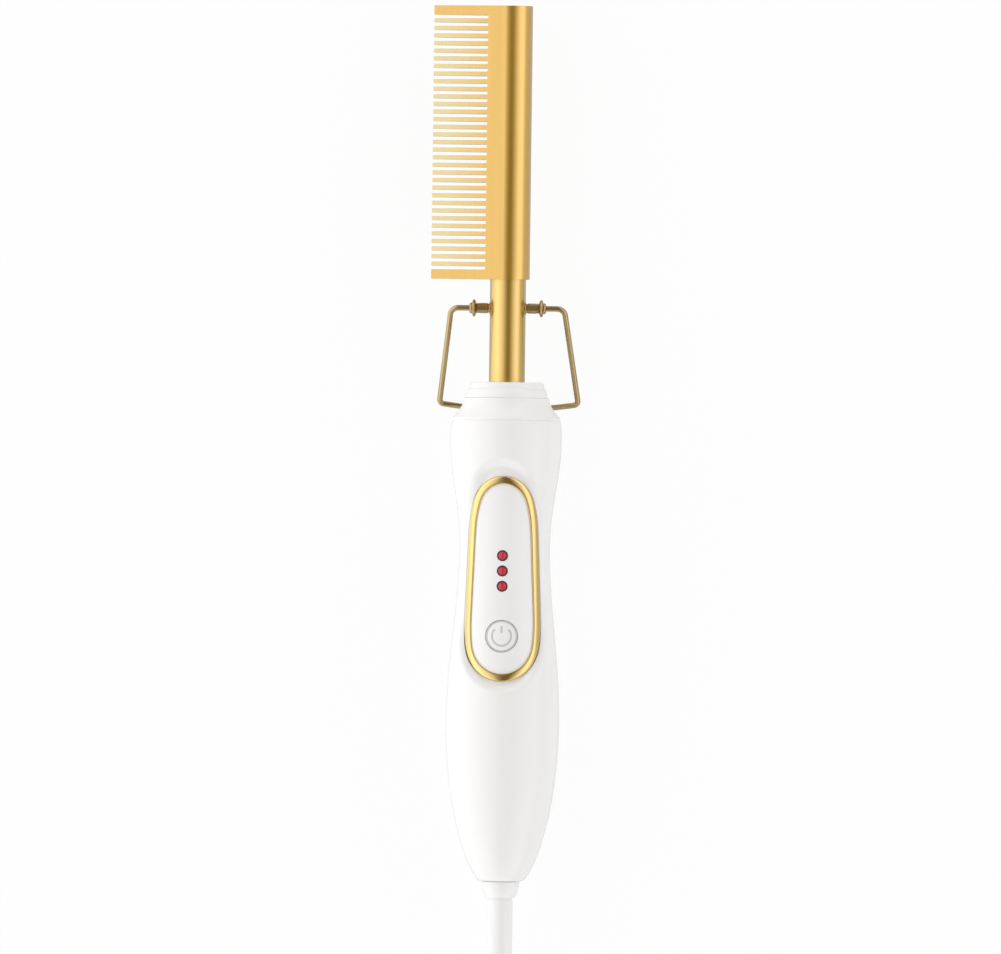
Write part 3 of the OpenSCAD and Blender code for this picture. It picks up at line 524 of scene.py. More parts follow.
# The teeth are tumbled after they are sawn, which leaves their gold paler towards the tips.
PALER_FROM, PALER_TO = -6, -20  # millimetres to the side of the barrel's axis
tree = anodised_gold.node_tree
place = add(tree, "ShaderNodeSeparateXYZ", {0: add(tree, "ShaderNodeTexCoord").outputs["Object"]})
outwards = add(tree, "ShaderNodeMapRange", {"Value": place.outputs["X"], "From Min": PALER_FROM * MM,
                                            "From Max": PALER_TO * MM})
sawn = add(tree, "ShaderNodeMath", {0: place.outputs["Y"], 1: NOSE_Y + (COMB_S + COMB_TIP) / 2 * MM,
                                    2: (SAWN_LEN + SLOT_W) / 2 * MM}, operation="COMPARE")
tumbled = add(tree, "ShaderNodeMath", {0: outwards.outputs[0], 1: sawn.outputs[0]}, operation="MULTIPLY")
shader = tree.nodes["Principled BSDF"]
gold = shader.inputs["Base Color"].links[0].from_socket
paler = add(tree, "ShaderNodeMix", {"Factor": tumbled.outputs[0], "A": gold, "B": paint("#e0c882")},
            data_type="RGBA")
tree.links.new(paler.outputs["Result"], shader.inputs["Base Color"])

# Painted light and shade on a light's red epoxy: its dome's crown is painted brighter and its rim darker, by
# height.
CROWN_FROM, CROWN_TO = 15.05, 15.6  # heights over the axis between which the painted light on the dome brightens
red_lens = finish("red_epoxy", ("#b0182c", "#c8233c"), (0.2, 0.26), (0.8, 0.8, 0.8), 0.0, IOR=1.54)
tree = red_lens.node_tree
place = add(tree, "ShaderNodeSeparateXYZ", {0: add(tree, "ShaderNodeTexCoord").outputs["Object"]})
crown = add(tree, "ShaderNodeMapRange", {"Value": place.outputs["Z"], "From Min": AXIS_Z + CROWN_FROM * MM,
                                         "From Max": AXIS_Z + CROWN_TO * MM})
# painted shade at the rim, going over into painted light at the crown
depth = add(tree, "ShaderNodeMix", {"Factor": crown.outputs[0], "A": paint("#741020"), "B": paint("#cf263a")},
            data_type="RGBA")
tree.links.new(depth.outputs["Result"], tree.nodes["Principled BSDF"].inputs["Base Color"])
mains_cord.data.materials.append(flex_pvc)

# ---- Shells ----
DISH_SIDES = 120  # straight sides of the dish's outline
DISH_FROM, DISH_TO = 57, 137  # stations between which the dish lies
DISH_TOP_S, DISH_TOP_LEN = 117, 10  # the station where its slope starts to get longer, and over what length
DISH_SLOPE, DISH_SLOPE_TOP = 2.2, 4.0  # width of the slope down to the trim, which is longer above it
DISH_EXTRA = ((0, 124.4, 11.4), (0, 74.4, 13.7))  # the dish reaches further past the trim at its ends
dish_sides = []  # the dish's outline as straight sides: direction and distance of each
for nx, ns in directions(DISH_SIDES):
    reach = max(x * nx + c * ns + r for x, c, r in
                [(x, c, r + DISH_SLOPE) for x, c, r in TRIM_CIRCLES] + list(DISH_EXTRA))
    dish_sides.append((nx, ns, reach))


def dish(x, s):
    """How far the shell's face has sunk to the border round the trim: 0 outside, 1 inside."""
    blend = ease(DISH_SLOPE, DISH_SLOPE_TOP, (s - DISH_TOP_S) / DISH_TOP_LEN)
    t = min(1, max(0, min(reach - x * nx - s * ns for nx, ns, reach in dish_sides) / blend))
    return t * t * (3 - 2 * t)


FINE_STEP = 0.6  # station spacing where the dish is


def stations(low, high, step, fine=None):
    """Stations from low to high, step apart, or FINE_STEP within the range fine."""
    places = [low]
    while places[-1] < high - 0.2:
        near = fine and fine[0] < places[-1] < fine[1]
        places.append(min(high, places[-1] + (FINE_STEP if near else step)))
    return places


NOSE_BORE_R, NOSE_WALL = 4.6, 2.4
LEDGE_IN_R = 12.1  # the ledge's inner face, under the dish
DISH_UNDER = 0.1  # how far the dish's floor lies under the panel's round
PARTING_GROOVE = 0.06
FLANGE_RIB, BLOCK_RIB = (11.35, 139.1, 141.0), (8.3, 12.6, 14.2)  # ribs inside: radius, from, to


def sink_dish(shell):
    """Lowers the shell's face, and its inner wall with it, where the dish is."""
    for corner in shell.data.vertices:
        x, s, z = corner.co
        sunk = dish(x, s) if DISH_FROM < s < DISH_TO and z > 0 else 0
        if sunk > 0:
            r = math.hypot(x, z)
            floor_r = PANEL_R - DISH_UNDER if r > handle_r(s) - WALL / 2 else LEDGE_IN_R
            k = (r + (floor_r - r) * sunk) / r
            corner.co.x, corner.co.z = x * k, z * k


def half_shell(name, front):
    """Half of the grip: its outline, wall and ribs drawn as one closed line, spun half round."""
    fine = (DISH_FROM - 1, DISH_TO) if front else None
    outer = [(NOSE_BORE_R, 0.0), (5.6, 0.0), (NOSE_R - 0.45, 0.0), (NOSE_R - 0.12, 0.1)]
    outer += [(handle_r(s), s) for s in [0.3 + 10 * (i / 12) ** 1.5 for i in range(13)]]
    outer += [(handle_r(s), s) for s in stations(11.2, BODY_LEN - 0.25, 1.5, fine)]
    outer.append((RIM_R - 0.2, BODY_LEN))
    inner = []
    for s in reversed(stations(3.2, BODY_LEN, 2.0, fine)):
        for rib_r, low, high in (FLANGE_RIB, BLOCK_RIB):
            if inner and inner[-1][1] > high >= s:
                inner += [(handle_r(high) - WALL, high), (rib_r, high)]
                inner += [(rib_r, low), (handle_r(low) - WALL, low)]
        if not any(low - 0.1 < s < high + 0.1 for rib_r, low, high in (FLANGE_RIB, BLOCK_RIB)):
            inner.append((handle_r(s) - WALL, s))
    inner += [(handle_r(NOSE_WALL + 0.2) - WALL, NOSE_WALL), (NOSE_BORE_R, NOSE_WALL)]
    shell = turned(name, outer + inner, closed=True, steps=150 if front else 100,
                   angle=180 if front else -180)
    if front:
        sink_dish(shell)
    for corner in shell.data.vertices:  # a fine groove along the parting line
        x, s, z = corner.co
        if abs(z) < 1e-3 and abs(x) > handle_r(s) - WALL / 2 and s > 0.3:
            corner.co.x -= math.copysign(PARTING_GROOVE, x)
    edit(shell)
    for side in (1, -1):
        pick("EDGE", lambda middle, item: item.is_boundary and middle.x * side > 0)
        bpy.ops.mesh.edge_face_add()
    done_outwards()
    return shell


POCKET_GAP, LEDGE_W = 0.03, 5.5  # the pocket's gap to the trim's outline, and the ledge's width inside it
POCKET_H, WINDOW_LOW, WINDOW_HIGH = 6.0, 8.0, 25.0  # the pocket cutter's height, and the window cutter's ends
front_shell = half_shell("front_shell_cover", True)
pocket = outline_plate("pocket", POCKET_GAP, POCKET_H, 0.0)
in_strips(pocket, half=12.4, step=0.8)
lay_round(pocket, SEAT_R)
cut(front_shell, pocket)
window = outline_plate("window", -LEDGE_W, WINDOW_HIGH, WINDOW_LOW)
cut(front_shell, window)
settle(front_shell, "handle", gloss_abs, ["front_shell"])

BOSS_R, HEAD_BORE_R, SCREW_BORE_R, HEAD_SEAT = 3.0, 2.3, 1.45, -8.0
rear_shell = half_shell("rear_shell_cover", False)
for x, s in SCREWS:
    boss = rod("boss", BOSS_R, x, s, -17, -0.05)
    for corner in boss.data.vertices:
        if corner.co.z < -1:  # its foot ends in the middle of the shell's wall
            corner.co.z = -math.sqrt((handle_r(corner.co.y) - WALL / 2) ** 2 - corner.co.x ** 2)
    cut(rear_shell, boss, "UNION")
for x, s in SCREWS:
    cut(rear_shell, rod("head_bore", HEAD_BORE_R, x, s, -25, HEAD_SEAT))
    cut(rear_shell, rod("shank_bore", SCREW_BORE_R, x, s, HEAD_SEAT - 1, 1))
settle(rear_shell, "handle", gloss_abs, ["rear_shell"])

SCREW_R, SCREW_HEAD_R, SCREW_TOP, SCREW_END = 1.15, 2.1, -9.6, 7.0
RECESS, RECESS_TURN = (2.6, 0.55, 1.6), 20  # each blade of the cross recess, and its turn in degrees
screws = []
for x, s in SCREWS:
    head = turned("screw", [
        (0, SCREW_TOP), (SCREW_HEAD_R - 0.2, SCREW_TOP), (SCREW_HEAD_R, SCREW_TOP + 0.25),
        (SCREW_HEAD_R, HEAD_SEAT), (SCREW_R, HEAD_SEAT), (SCREW_R, SCREW_END - 0.6), (0.5, SCREW_END),
        (0, SCREW_END)],
        "Z", (x, s, 0), steps=32)
    for a in (0, 90):
        blade = fresh(bpy.ops.mesh.primitive_cube_add, "blade", size=1, location=(x, s, SCREW_TOP),
                      rotation=(0, 0, math.radians(a + RECESS_TURN)), scale=RECESS)
        cut(head, blade)
    screws.append(head)
screws = join(screws)
screws.name = "grip_screws"
settle(screws, "handle", screw_steel, ["shell_screws"])

# ---- Trim, panel, button and lights ----
BAND_TOP, BAND_FOOT, BAND_STEPS = 0.62, -0.12, 14
BAND_FLAT = 0.72  # below 1 the band's crown is flatter and its flanks steeper than half an ellipse
PANEL_GAP, PANEL_EDGE = 0.03, 0.35  # the panel's gap to the trim, and the rounding of its edges
trim = outline_plate("trim_band", 0.0, BAND_FOOT, unrolled=True)
edit(trim)
pick_all()
for k in range(BAND_STEPS):
    across, rise = [], []
    for a in (math.pi * k / BAND_STEPS, math.pi * (k + 1) / BAND_STEPS):
        across.append(math.copysign(abs(math.cos(a)) ** BAND_FLAT, math.cos(a)))
        rise.append(max(0, math.sin(a)) ** BAND_FLAT)
    bpy.ops.mesh.inset(thickness=TRIM_W / 2 * (across[0] - across[1]), depth=0, use_even_offset=True)
    move(z=(BAND_TOP - BAND_FOOT) * (rise[1] - rise[0]))
bpy.ops.mesh.delete(type="FACE")
bpy.ops.mesh.select_all(action="DESELECT")
bpy.ops.mesh.select_mode(type="EDGE")
bpy.ops.mesh.select_non_manifold()
bpy.ops.mesh.extrude_edges_move(TRANSFORM_OT_translate={"value": (0, 0, SEAT_R + 0.1 - PANEL_R - BAND_FOOT)})
bpy.ops.mesh.bridge_edge_loops()
done_outwards()
lay_round(trim, PANEL_R, bent=True)
settle(trim, "handle", trim_gold, ["trim_ring"], angle=50)

panel = outline_plate("panel_cover", 0.0, 0.0, unrolled=True)
edit(panel)
pick_all()
bpy.ops.mesh.inset(thickness=TRIM_W + PANEL_GAP, depth=0, use_even_offset=True)
bpy.ops.mesh.select_all(action="INVERT")
bpy.ops.mesh.delete(type="FACE")
pick_all()
bpy.ops.mesh.extrude_region_move(TRANSFORM_OT_translate={"value": (0, 0, 0.05 - PANEL_T)})
done_outwards()
hole = rod("button_hole", BUTTON_HOLE_R, 0, BUTTON_S, -5, 5, 72)
hole.data.transform(Matrix.Scale(BEND_R * math.asin(BUTTON_HOLE_R / BEND_R) / BUTTON_HOLE_R, 4, (1, 0, 0)))
cut(panel, hole)
soften(panel, PANEL_EDGE, 4)
for k in range(3):
    cut(panel, rod("led_hole", LED_R + 0.02, 0, LED_S - LED_PITCH * k, -5, 5))
in_strips(panel, half=12, step=0.6)
lay_round(panel, PANEL_R, bent=True)
settle(panel, "handle", gloss_abs, ["control_panel"])

BUTTON_EDGE = 0.15
SKIRT_R, SKIRT_TOP, SKIRT_FOOT = 6.0, -4.3, -5.1  # the flange under the panel that holds the button in
profile = [((BUTTON_R - BUTTON_EDGE) * k / 9, 0) for k in range(10)]
profile += [(BUTTON_R - BUTTON_EDGE + BUTTON_EDGE * math.sin(a), -BUTTON_EDGE + BUTTON_EDGE * math.cos(a))
            for a in (0.3, 0.6, 0.9, 1.2, math.pi / 2)]
profile += [(BUTTON_R, SKIRT_TOP), (SKIRT_R, SKIRT_TOP), (SKIRT_R, SKIRT_FOOT), (0, SKIRT_FOOT)]
button = turned("button_cap", profile, "Z", (0, BUTTON_S, 0), steps=72)
lay_round(button, PANEL_R, above=-1)
for corner in button.data.vertices:
    if corner.co.z < 0:
        corner.co.z += PANEL_R
settle(button, "button", gloss_abs, ["power_button"])

SYMBOL_R, SYMBOL_W, SYMBOL_T = 3.05, 0.65, 0.03  # the power symbol: three quarters of a ring and a bar
LINE_IN_R, LINE_OUT_R = 4.5, 4.95  # the grey line near the button's edge, in the symbol's finish
BAR_FOOT, BAR_LEN = 1.4, 1.5  # the bar's lowest middle point over the button's, and how far it is drawn out
arc = turned("power_symbol", [(SYMBOL_R - SYMBOL_W / 2, 0), (SYMBOL_R + SYMBOL_W / 2, 0)],
             "Z", (0, BUTTON_S, 0), steps=48, angle=270)
arc.data.transform(Matrix.Translation((0, BUTTON_S, 0)) @ Matrix.Rotation(math.radians(45), 4, "Z")
                   @ Matrix.Translation((0, -BUTTON_S, 0)))
bar = fresh(bpy.ops.mesh.primitive_plane_add, "bar", size=SYMBOL_W, location=(0, BUTTON_S + BAR_FOOT, 0))
edit(bar)
pick("VERT", lambda middle, item: middle.y > BUTTON_S + BAR_FOOT)
move(y=BAR_LEN)
done()
line = turned("line", [(LINE_IN_R, 0), (LINE_OUT_R, 0)], "Z", (0, BUTTON_S, 0), steps=96)
symbol = join([arc, bar, line])
edit(symbol)
pick("FACE", lambda middle, item: item.normal.z < 0)
bpy.ops.mesh.flip_normals()
done()
in_strips(symbol, half=5, step=0.4)
apply_modifier(symbol, "SOLIDIFY", thickness=SYMBOL_T, offset=1)
lay_round(symbol, PANEL_R)
settle(symbol, "button", grey_ink)

LENS_FLANGE_R, LEG_X, LEG_R, LEG_END = 2.1, 1.27, 0.25, 6.4
for k, node in enumerate(("led_upper", "led_middle", "led_lower")):
    s = LED_S - LED_PITCH * k
    profile = [(0, LENS_EDGE + LED_R)]
    profile += [(LED_R * math.sin(a), LENS_EDGE + LED_R * math.cos(a))
                for a in (math.pi / 2 * i / 8 for i in range(1, 9))]
    profile += [(LED_R, LENS_FLANGE), (LENS_FLANGE_R, LENS_FLANGE), (LENS_FLANGE_R, LENS_BASE),
                (0, LENS_BASE)]
    lens = turned(node + "_lens", profile, "Z", (0, s, 0), steps=40)
    legs = [rod("leg", LEG_R, x, s, LEG_END, LENS_BASE + 0.05, 12) for x in (-LEG_X, LEG_X)]
    settle(join([lens] + legs), "handle", red_lens, [node])

# ---- Comb: one extrusion, bored, with its blade sawn into teeth ----
comb = fresh(bpy.ops.mesh.primitive_circle_add, "comb_extrusion", vertices=144, radius=BARREL_R,
             location=(0, COMB_S, 0), rotation=(math.pi / 2, 0, 0))
FLANK_X = -1.72  # where the blade's flat flanks leave the barrel
TIP_BORE_R, TIP_BORE_LEN = 5.45, 4  # the wider bore for the end plug
SAW_REACH, SAW_H = 30, 20  # the slot cutter's length outwards from a slot's root, and its height
COMB_EDGE = 0.12
edit(comb)
pick("VERT", lambda middle, item: middle.x < FLANK_X - 0.05)
bpy.ops.mesh.delete(type="VERT")
for side in (1, -1):
    mesh_x = min(corner.co.x for corner in bmesh.from_edit_mesh(comb.data).verts if corner.co.x > -3)
    pick("VERT", lambda middle, item: abs(middle.x - mesh_x) < 1e-3 and middle.z * side > 0)
    end = [corner.co.copy() for corner in bmesh.from_edit_mesh(comb.data).verts if corner.select][0]
    tip = Vector((-TOOTH_REACH, COMB_S, side * TIP_T / 2))
    bpy.ops.mesh.extrude_vertices_move(TRANSFORM_OT_translate={"value": tuple(tip - end)})
pick_all()
bpy.ops.mesh.edge_face_add()
bpy.ops.mesh.extrude_region_move(TRANSFORM_OT_translate={"value": (0, COMB_TIP - COMB_S, 0)})
done_outwards()
slots = fresh(bpy.ops.mesh.primitive_cube_add, "slots", size=1,
              location=(-SLOT_ROOT - SAW_REACH / 2, COMB_S + (COMB_TIP - COMB_S - SAWN_LEN) / 2, 0),
              scale=(SAW_REACH, SLOT_W, SAW_H))
apply_modifier(slots, "ARRAY", count=SLOT_COUNT, use_relative_offset=False, use_constant_offset=True,
               constant_offset_displace=(0, SLOT_PITCH, 0))
bore = turned("bore", [
    (0, COMB_S - 1), (SHANK_R + 0.05, COMB_S - 1), (SHANK_R + 0.05, SOCKET_TOP), (SHANK_BORE_R, SOCKET_TOP),
    (SHANK_BORE_R, COMB_TIP - TIP_BORE_LEN), (TIP_BORE_R, COMB_TIP - TIP_BORE_LEN),
    (TIP_BORE_R, COMB_TIP + 1), (0, COMB_TIP + 1)])
cut(comb, join([slots, bore]))
soften(comb, COMB_EDGE)
settle(comb, "handle", anodised_gold, ["comb_head"], flat=True)

plug = turned("comb_end_plug", [(r, COMB_TIP - depth) for r, depth in (
    (0, 3.9), (5.4, 3.9), (5.4, 0.35), (5.2, 0.15), (1.4, 0.15), (1.1, 0.6), (0, 0.6))])
settle(plug, "handle", anodised_gold, ["tip_plug"])

# ---- Shank, studs and stand ----
shank = turned("shank_pipe", [(SHANK_BORE_R, SHANK_FOOT), (SHANK_R, SHANK_FOOT), (SHANK_R, SOCKET_TOP),
                              (SHANK_BORE_R, SOCKET_TOP)], closed=True, steps=128)
cross = fresh(bpy.ops.mesh.primitive_cylinder_add, "cross_bore", vertices=48, radius=STUD_R + 0.05, depth=30,
              location=(0, PIVOT_S, 0), rotation=(0, math.pi / 2, 0))
cut(shank, cross)
settle(shank, "handle", plated_gold, ["shank_tube"])

STUD_GROOVES, STUD_GROOVE_T = (9.2, 9.7), 0.14  # where two fine grooves are turned, and their depth
for side, name in ((1, "stud_right"), (-1, "stud_left")):
    # Outwards from the shank: a shoulder that seats on it, a plain shaft, the grooves and a collar.
    profile = [(0, 4.8), (STUD_R, 4.8), (STUD_R, 5.35), (1.9, 5.35), (1.98, 5.5), (1.98, 5.75), (1.9, 5.88),
               (STUD_R - 0.2, 5.9), (STUD_R - 0.2, 6.3), (STUD_R, 6.4)]
    for groove in STUD_GROOVES:
        profile += [(STUD_R, groove), (STUD_R - STUD_GROOVE_T, groove + 0.06),
                    (STUD_R - STUD_GROOVE_T, groove + 0.2), (STUD_R, groove + 0.26)]
    profile += [(STUD_COLLAR_R - inwards, x) for inwards, x in (
        (0.7, 10.25), (0.3, 10.35), (0.1, 10.6), (0.05, 10.85), (0.15, 11.1), (0.45, 11.28), (0.95, 11.32))]
    profile.append((1.78, 11.4))
    profile += [(1.1 + 0.68 * math.cos(a), 11.55 + 0.75 * math.sin(a))
                for a in (math.pi / 2 * i / 6 for i in range(7))]
    profile += [(0.97, STUD_END_X - 0.1), (0.97, 6.9), (0, 6.9)]  # the bore that the stand's wire turns in
    stud = turned(name + "_turned", profile, "X", (0, PIVOT_S, 0), steps=48)
    if side < 0:
        stud.data.transform(Matrix.Rotation(math.pi, 4, "Y"))
    settle(stud, "handle", stud_brass, [name], angle=25)


def rounded(a, b, c, r, steps=10):
    """Points of an arc of radius r that rounds the corner b."""
    u, v = (a - b).normalized(), (c - b).normalized()
    half = u.angle(v) / 2
    middle = b + (u + v).normalized() * (r / math.sin(half))
    p, q = b + u * (r / math.tan(half)) - middle, b + v * (r / math.tan(half)) - middle
    wide = math.pi - 2 * half
    return [middle + (p * math.sin(wide * (1 - i / steps)) + q * math.sin(wide * i / steps)) / math.sin(wide)
            for i in range(steps + 1)]


def bar_point(x):
    return Vector((x, -STAND_LEG - STAND_BOW * (1 - (x / STAND_FOOT_X) ** 2), 0))


top_corner, foot_corner = Vector((STAND_TOP_X, 0, 0)), Vector((STAND_FOOT_X, -STAND_LEG, 0))
side_line = [Vector((STUD_END_X - 5, 0, 0))] + rounded(Vector(), top_corner, foot_corner, WIRE_BEND)
side_line += rounded(top_corner, foot_corner, bar_point(STAND_FOOT_X - 5), FOOT_BEND)
side_line += [bar_point((STAND_FOOT_X - 5) * (1 - i / 10)) for i in range(1, 11)]
wire_line = side_line + [Vector((-p.x, p.y, p.z)) for p in reversed(side_line[:-1])]
tilt = Matrix.Translation((0, PIVOT_S, 0)) @ Matrix.Rotation(STAND_TILT, 4, "X")
stand = curve_piece("stand_bow", [tilt @ p for p in wire_line], WIRE_R, rings=6)
alone(stand)
bpy.ops.object.convert(target="MESH")
stand = bpy.context.object
stand.name = "stand_bow"
stand.data.materials.clear()
stand.data.materials.append(brass)
shade(stand, 40)
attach(stand, "stand")
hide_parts("stand_wire")

# ---- Neck ----
collar = turned("heat_collar", [(r, COLLAR_S + height) for r, height in (
    (SHANK_R + 0.05, -3), (9, -3), (9, 0), (13.1, 0), (13.22, 0.12), (13.15, 0.5), (12.75, 1.75),
    (12.5, 2.6), (12.3, 2.9), (12.05, 3.05), (11.98, 3.4), (11.9, 4.2), (11.75, 4.7), (11.5, 4.93),
    (11.2, 5.0), (6.6, 5.0), (6.2, 4.7), (SHANK_R + 0.05, 4.6))], closed=True, steps=144)
settle(collar, "handle", satin_pbt, ["neck_collar"])

LIP_S = BODY_LEN + 0.9  # the top of the shoulder's straight lip, from which it flares inwards
NECK_END_R, FLARE_W, FLARE_LEN = 13.6, 3.3, 6.0
profile = [(9.05, COLLAR_S - 3.1), (9.05, COLLAR_S - 0.02), (13.3, COLLAR_S - 0.02), (13.5, COLLAR_S - 0.08)]
for i in range(12, -1, -1):
    t = i / 12
    station = LIP_S + 0.3 + FLARE_LEN * t - (0.2 if i == 12 else 0)
    profile.append((NECK_END_R + FLARE_W * (1 - t) ** 1.8, station))
profile += [(RIM_R - 0.15, LIP_S + 0.05), (RIM_R, LIP_S - 0.2), (RIM_R, BODY_LEN + 0.25),
            (RIM_R - 0.2, BODY_LEN), (14.8, BODY_LEN), (14.8, BODY_LEN - 4), (12.8, BODY_LEN - 4),
            (12.8, BODY_LEN - 2), (SHANK_R + 0.05, BODY_LEN - 2), (SHANK_R + 0.05, COLLAR_S - 3.1)]
shoulder = turned("shoulder_cap", profile, closed=True, steps=160)
settle(shoulder, "handle", satin_pbt, ["shoulder_ring"])

# ---- Swivel and strain relief ----
ring = turned("swivel_ring", [
    (0, SWIVEL_FOOT), (4.2, SWIVEL_FOOT), (4.6, SWIVEL_FOOT + 0.05), (5.3, -3.9), (5.55, -3.4), (5.75, -2.4),
    (6.0, -0.6), (5.98, -0.35), (5.9, -0.2), (5.75, -0.13), (4.5, -0.12), (4.5, 2.7), (6.2, 2.7), (6.2, 4.3),
    (2.95, 4.3), (2.95, 13.8), (2.75, 14), (0, 14)], steps=96)
boot = turned("strain_relief", [
    (0, BOOT_END), (3.0, BOOT_END), (3.3, BOOT_END + 0.25), (3.6, BOOT_END + 1.2), (3.75, -36.0),
    (3.9, -30.0), (4.0, -24.0), (4.0, SWIVEL_FOOT - 0.8), (3.72, SWIVEL_FOOT - 0.6), (3.72, SWIVEL_FOOT),
    (0, SWIVEL_FOOT)],
    steps=72)
settle(ring, "swivel", gloss_abs, ["swivel_spool"])
settle(boot, "swivel", boot_pvc, ["cord_boot"])

# ---- Tie and plug of the put-away lead ----
TIE_X, TIE_W, TIE_T, TIE_FOOT, TIE_TOP, TIE_CORNER = 11.9, 8.0, 0.8, -18.15, 5.55, 3.4
TIE_S = BOOT_END - 132.0
FLAP_X, FLAP_LEN, FLAP_ROUND = -2.0, 13.0, 3.4
# Woven nylon strap is matt, with a faint sheen on the crests of its threads.
woven_nylon = finish("woven_nylon", ("#1d1d1f", "#262628"), (0.6, 0.75), (0.5, 0.5, 0.5), 0.0,
                     Sheen_Weight=0.25)
tree = woven_nylon.node_tree
way = add(tree, "ShaderNodeSeparateXYZ", {0: add(tree, "ShaderNodeTexCoord").outputs["Object"]})
NYLON_THREAD = 0.9  # millimetres, twice the real thread, so that the weave shows
threads = []
for side in ("X", "Y", "Z"):
    phase = add(tree, "ShaderNodeMath", {0: way.outputs[side], 1: math.tau / (NYLON_THREAD * MM)},
                operation="MULTIPLY")
    threads.append(add(tree, "ShaderNodeMath", {0: phase.outputs[0]}, operation="SINE").outputs[0])
weft = add(tree, "ShaderNodeMath", {0: threads[0], 1: threads[2]}, operation="ADD")
weave = add(tree, "ShaderNodeMath", {0: weft.outputs[0], 1: threads[1]}, operation="MULTIPLY")
relief = add(tree, "ShaderNodeBump", {"Height": weave.outputs[0], "Distance": 0.08 * MM, "Strength": 1.0})
tree.links.new(relief.outputs[0], tree.nodes["Principled BSDF"].inputs["Normal"])

tie_circles = [(side * (TIE_X - TIE_CORNER), z, TIE_CORNER) for side in (1, -1)
               for z in (TIE_TOP - TIE_CORNER, TIE_FOOT + TIE_CORNER)]
tie = outline_plate("lead_tie", 0, 0, circles=tie_circles, soft=False)
edit(tie)
pick_all()
bpy.ops.mesh.inset(thickness=TIE_T, depth=0, use_even_offset=True)
bpy.ops.mesh.delete(type="FACE")
pick_all()
bpy.ops.mesh.extrude_region_move(TRANSFORM_OT_translate={"value": (0, 0, TIE_W)})
done_outwards()
tie.data.transform(Matrix.Translation((0, TIE_S + TIE_W, 0)) @ Matrix.Rotation(math.pi / 2, 4, "X"))
flap = fresh(bpy.ops.mesh.primitive_cube_add, "flap", size=1,
             location=(FLAP_X, TIE_S + TIE_W / 2, TIE_TOP + TIE_T / 2 - 0.02), scale=(FLAP_LEN, TIE_W, TIE_T))
edit(flap)  # its loose end is cut round
pick("EDGE", lambda middle, item: middle.x > 4 and abs(middle.z - TIE_TOP - TIE_T / 2) < 0.1)
bpy.ops.mesh.bevel(offset=FLAP_ROUND, segments=6, affect="EDGES")
done()
tie = join([tie, flap])
soften(tie, 0.15, 2)
settle(tie, "handle", woven_nylon, ["cord_tie"])

PLUG_X, PLUG_Z, PLUG_T, PLUG_FACE, PLUG_BACK, RELIEF_END = -7.0, -11.3, 13.7, -325.0, -289.0, -271.0
PLUG_CORNERS = ((15.65, 2, 2), (12.65, 15, 5))  # the moulding's front and back corners: across, along, radius
PLUG_CIRCLES = [(PLUG_X + side * x, PLUG_FACE + s, r) for side in (1, -1) for x, s, r in PLUG_CORNERS]
PLUG_CIRCLES.append((PLUG_X, PLUG_BACK - 6, 6))
NOTCH_R, NOTCH_X, NOTCH_PITCH = 1.3, 18.4, 3.2
plug_body = outline_plate("plug_moulding", 0, PLUG_Z + PLUG_T / 2, PLUG_Z - PLUG_T / 2, PLUG_CIRCLES,
                          soft=False)
for side in (1, -1):
    for k in range(4):  # grip notches
        station = PLUG_FACE + 5 + NOTCH_PITCH * k
        cut(plug_body, rod("notch", NOTCH_R, PLUG_X + side * NOTCH_X, station, -20, 0, 32))
soften(plug_body, 1.7, 5, angle=50)
RELIEF_R, RELIEF_TAPER, RIB_PITCH, RIB_T = 5.0, 1.6, 2.9, 1.0
profile = [(0, PLUG_BACK - 6), (RELIEF_R, PLUG_BACK - 6), (RELIEF_R, PLUG_BACK + 1.2)]
for k in range(5):  # its ribs let it bend
    at = PLUG_BACK + 2.0 + RIB_PITCH * k
    r = RELIEF_R - RELIEF_TAPER * (at - PLUG_BACK) / (RELIEF_END - PLUG_BACK)
    profile += [(r, at), (r - 0.15, at + 0.15), (r - RIB_T, at + 0.4), (r - RIB_T, at + 1.1),
                (r - 0.25, at + 1.35), (r - 0.1, at + 1.5)]
profile += [(RELIEF_R - RELIEF_TAPER, RELIEF_END - 0.3), (3.2, RELIEF_END), (0, RELIEF_END)]
cut(plug_body, turned("relief", profile, "Y", (PLUG_X, 0, PLUG_Z), steps=48), "UNION")
PIN_X, PIN_HOLE_R = 9.5, 1.8  # the pins are 19 apart
for side in (1, -1):
    hole = fresh(bpy.ops.mesh.primitive_cylinder_add, "pin_hole", vertices=48, radius=PIN_HOLE_R, depth=20,
                 location=(PLUG_X + side * PIN_X, PLUG_FACE - 5, PLUG_Z), rotation=(math.pi / 2, 0, 0))
    cut(plug_body, hole)
settle(plug_body, "handle", boot_pvc, ["plug_body"])

PIN_R, SLEEVE_R, PIN_CORE_R, SLEEVE_LEN, PIN_LEN, PIN_ROOT, PIN_NOSE = 2.0, 1.75, 1.35, 10.0, 19.0, 5.0, 0.8
# Nickel plate on turned brass is bright, with faint rings from the lathe.
nickel = finish("nickel_plated_brass", ("#d3d1cc", "#c4c2bd"), (0.14, 0.24), (3, 0.3, 3), 0.001, Metallic=1.0)
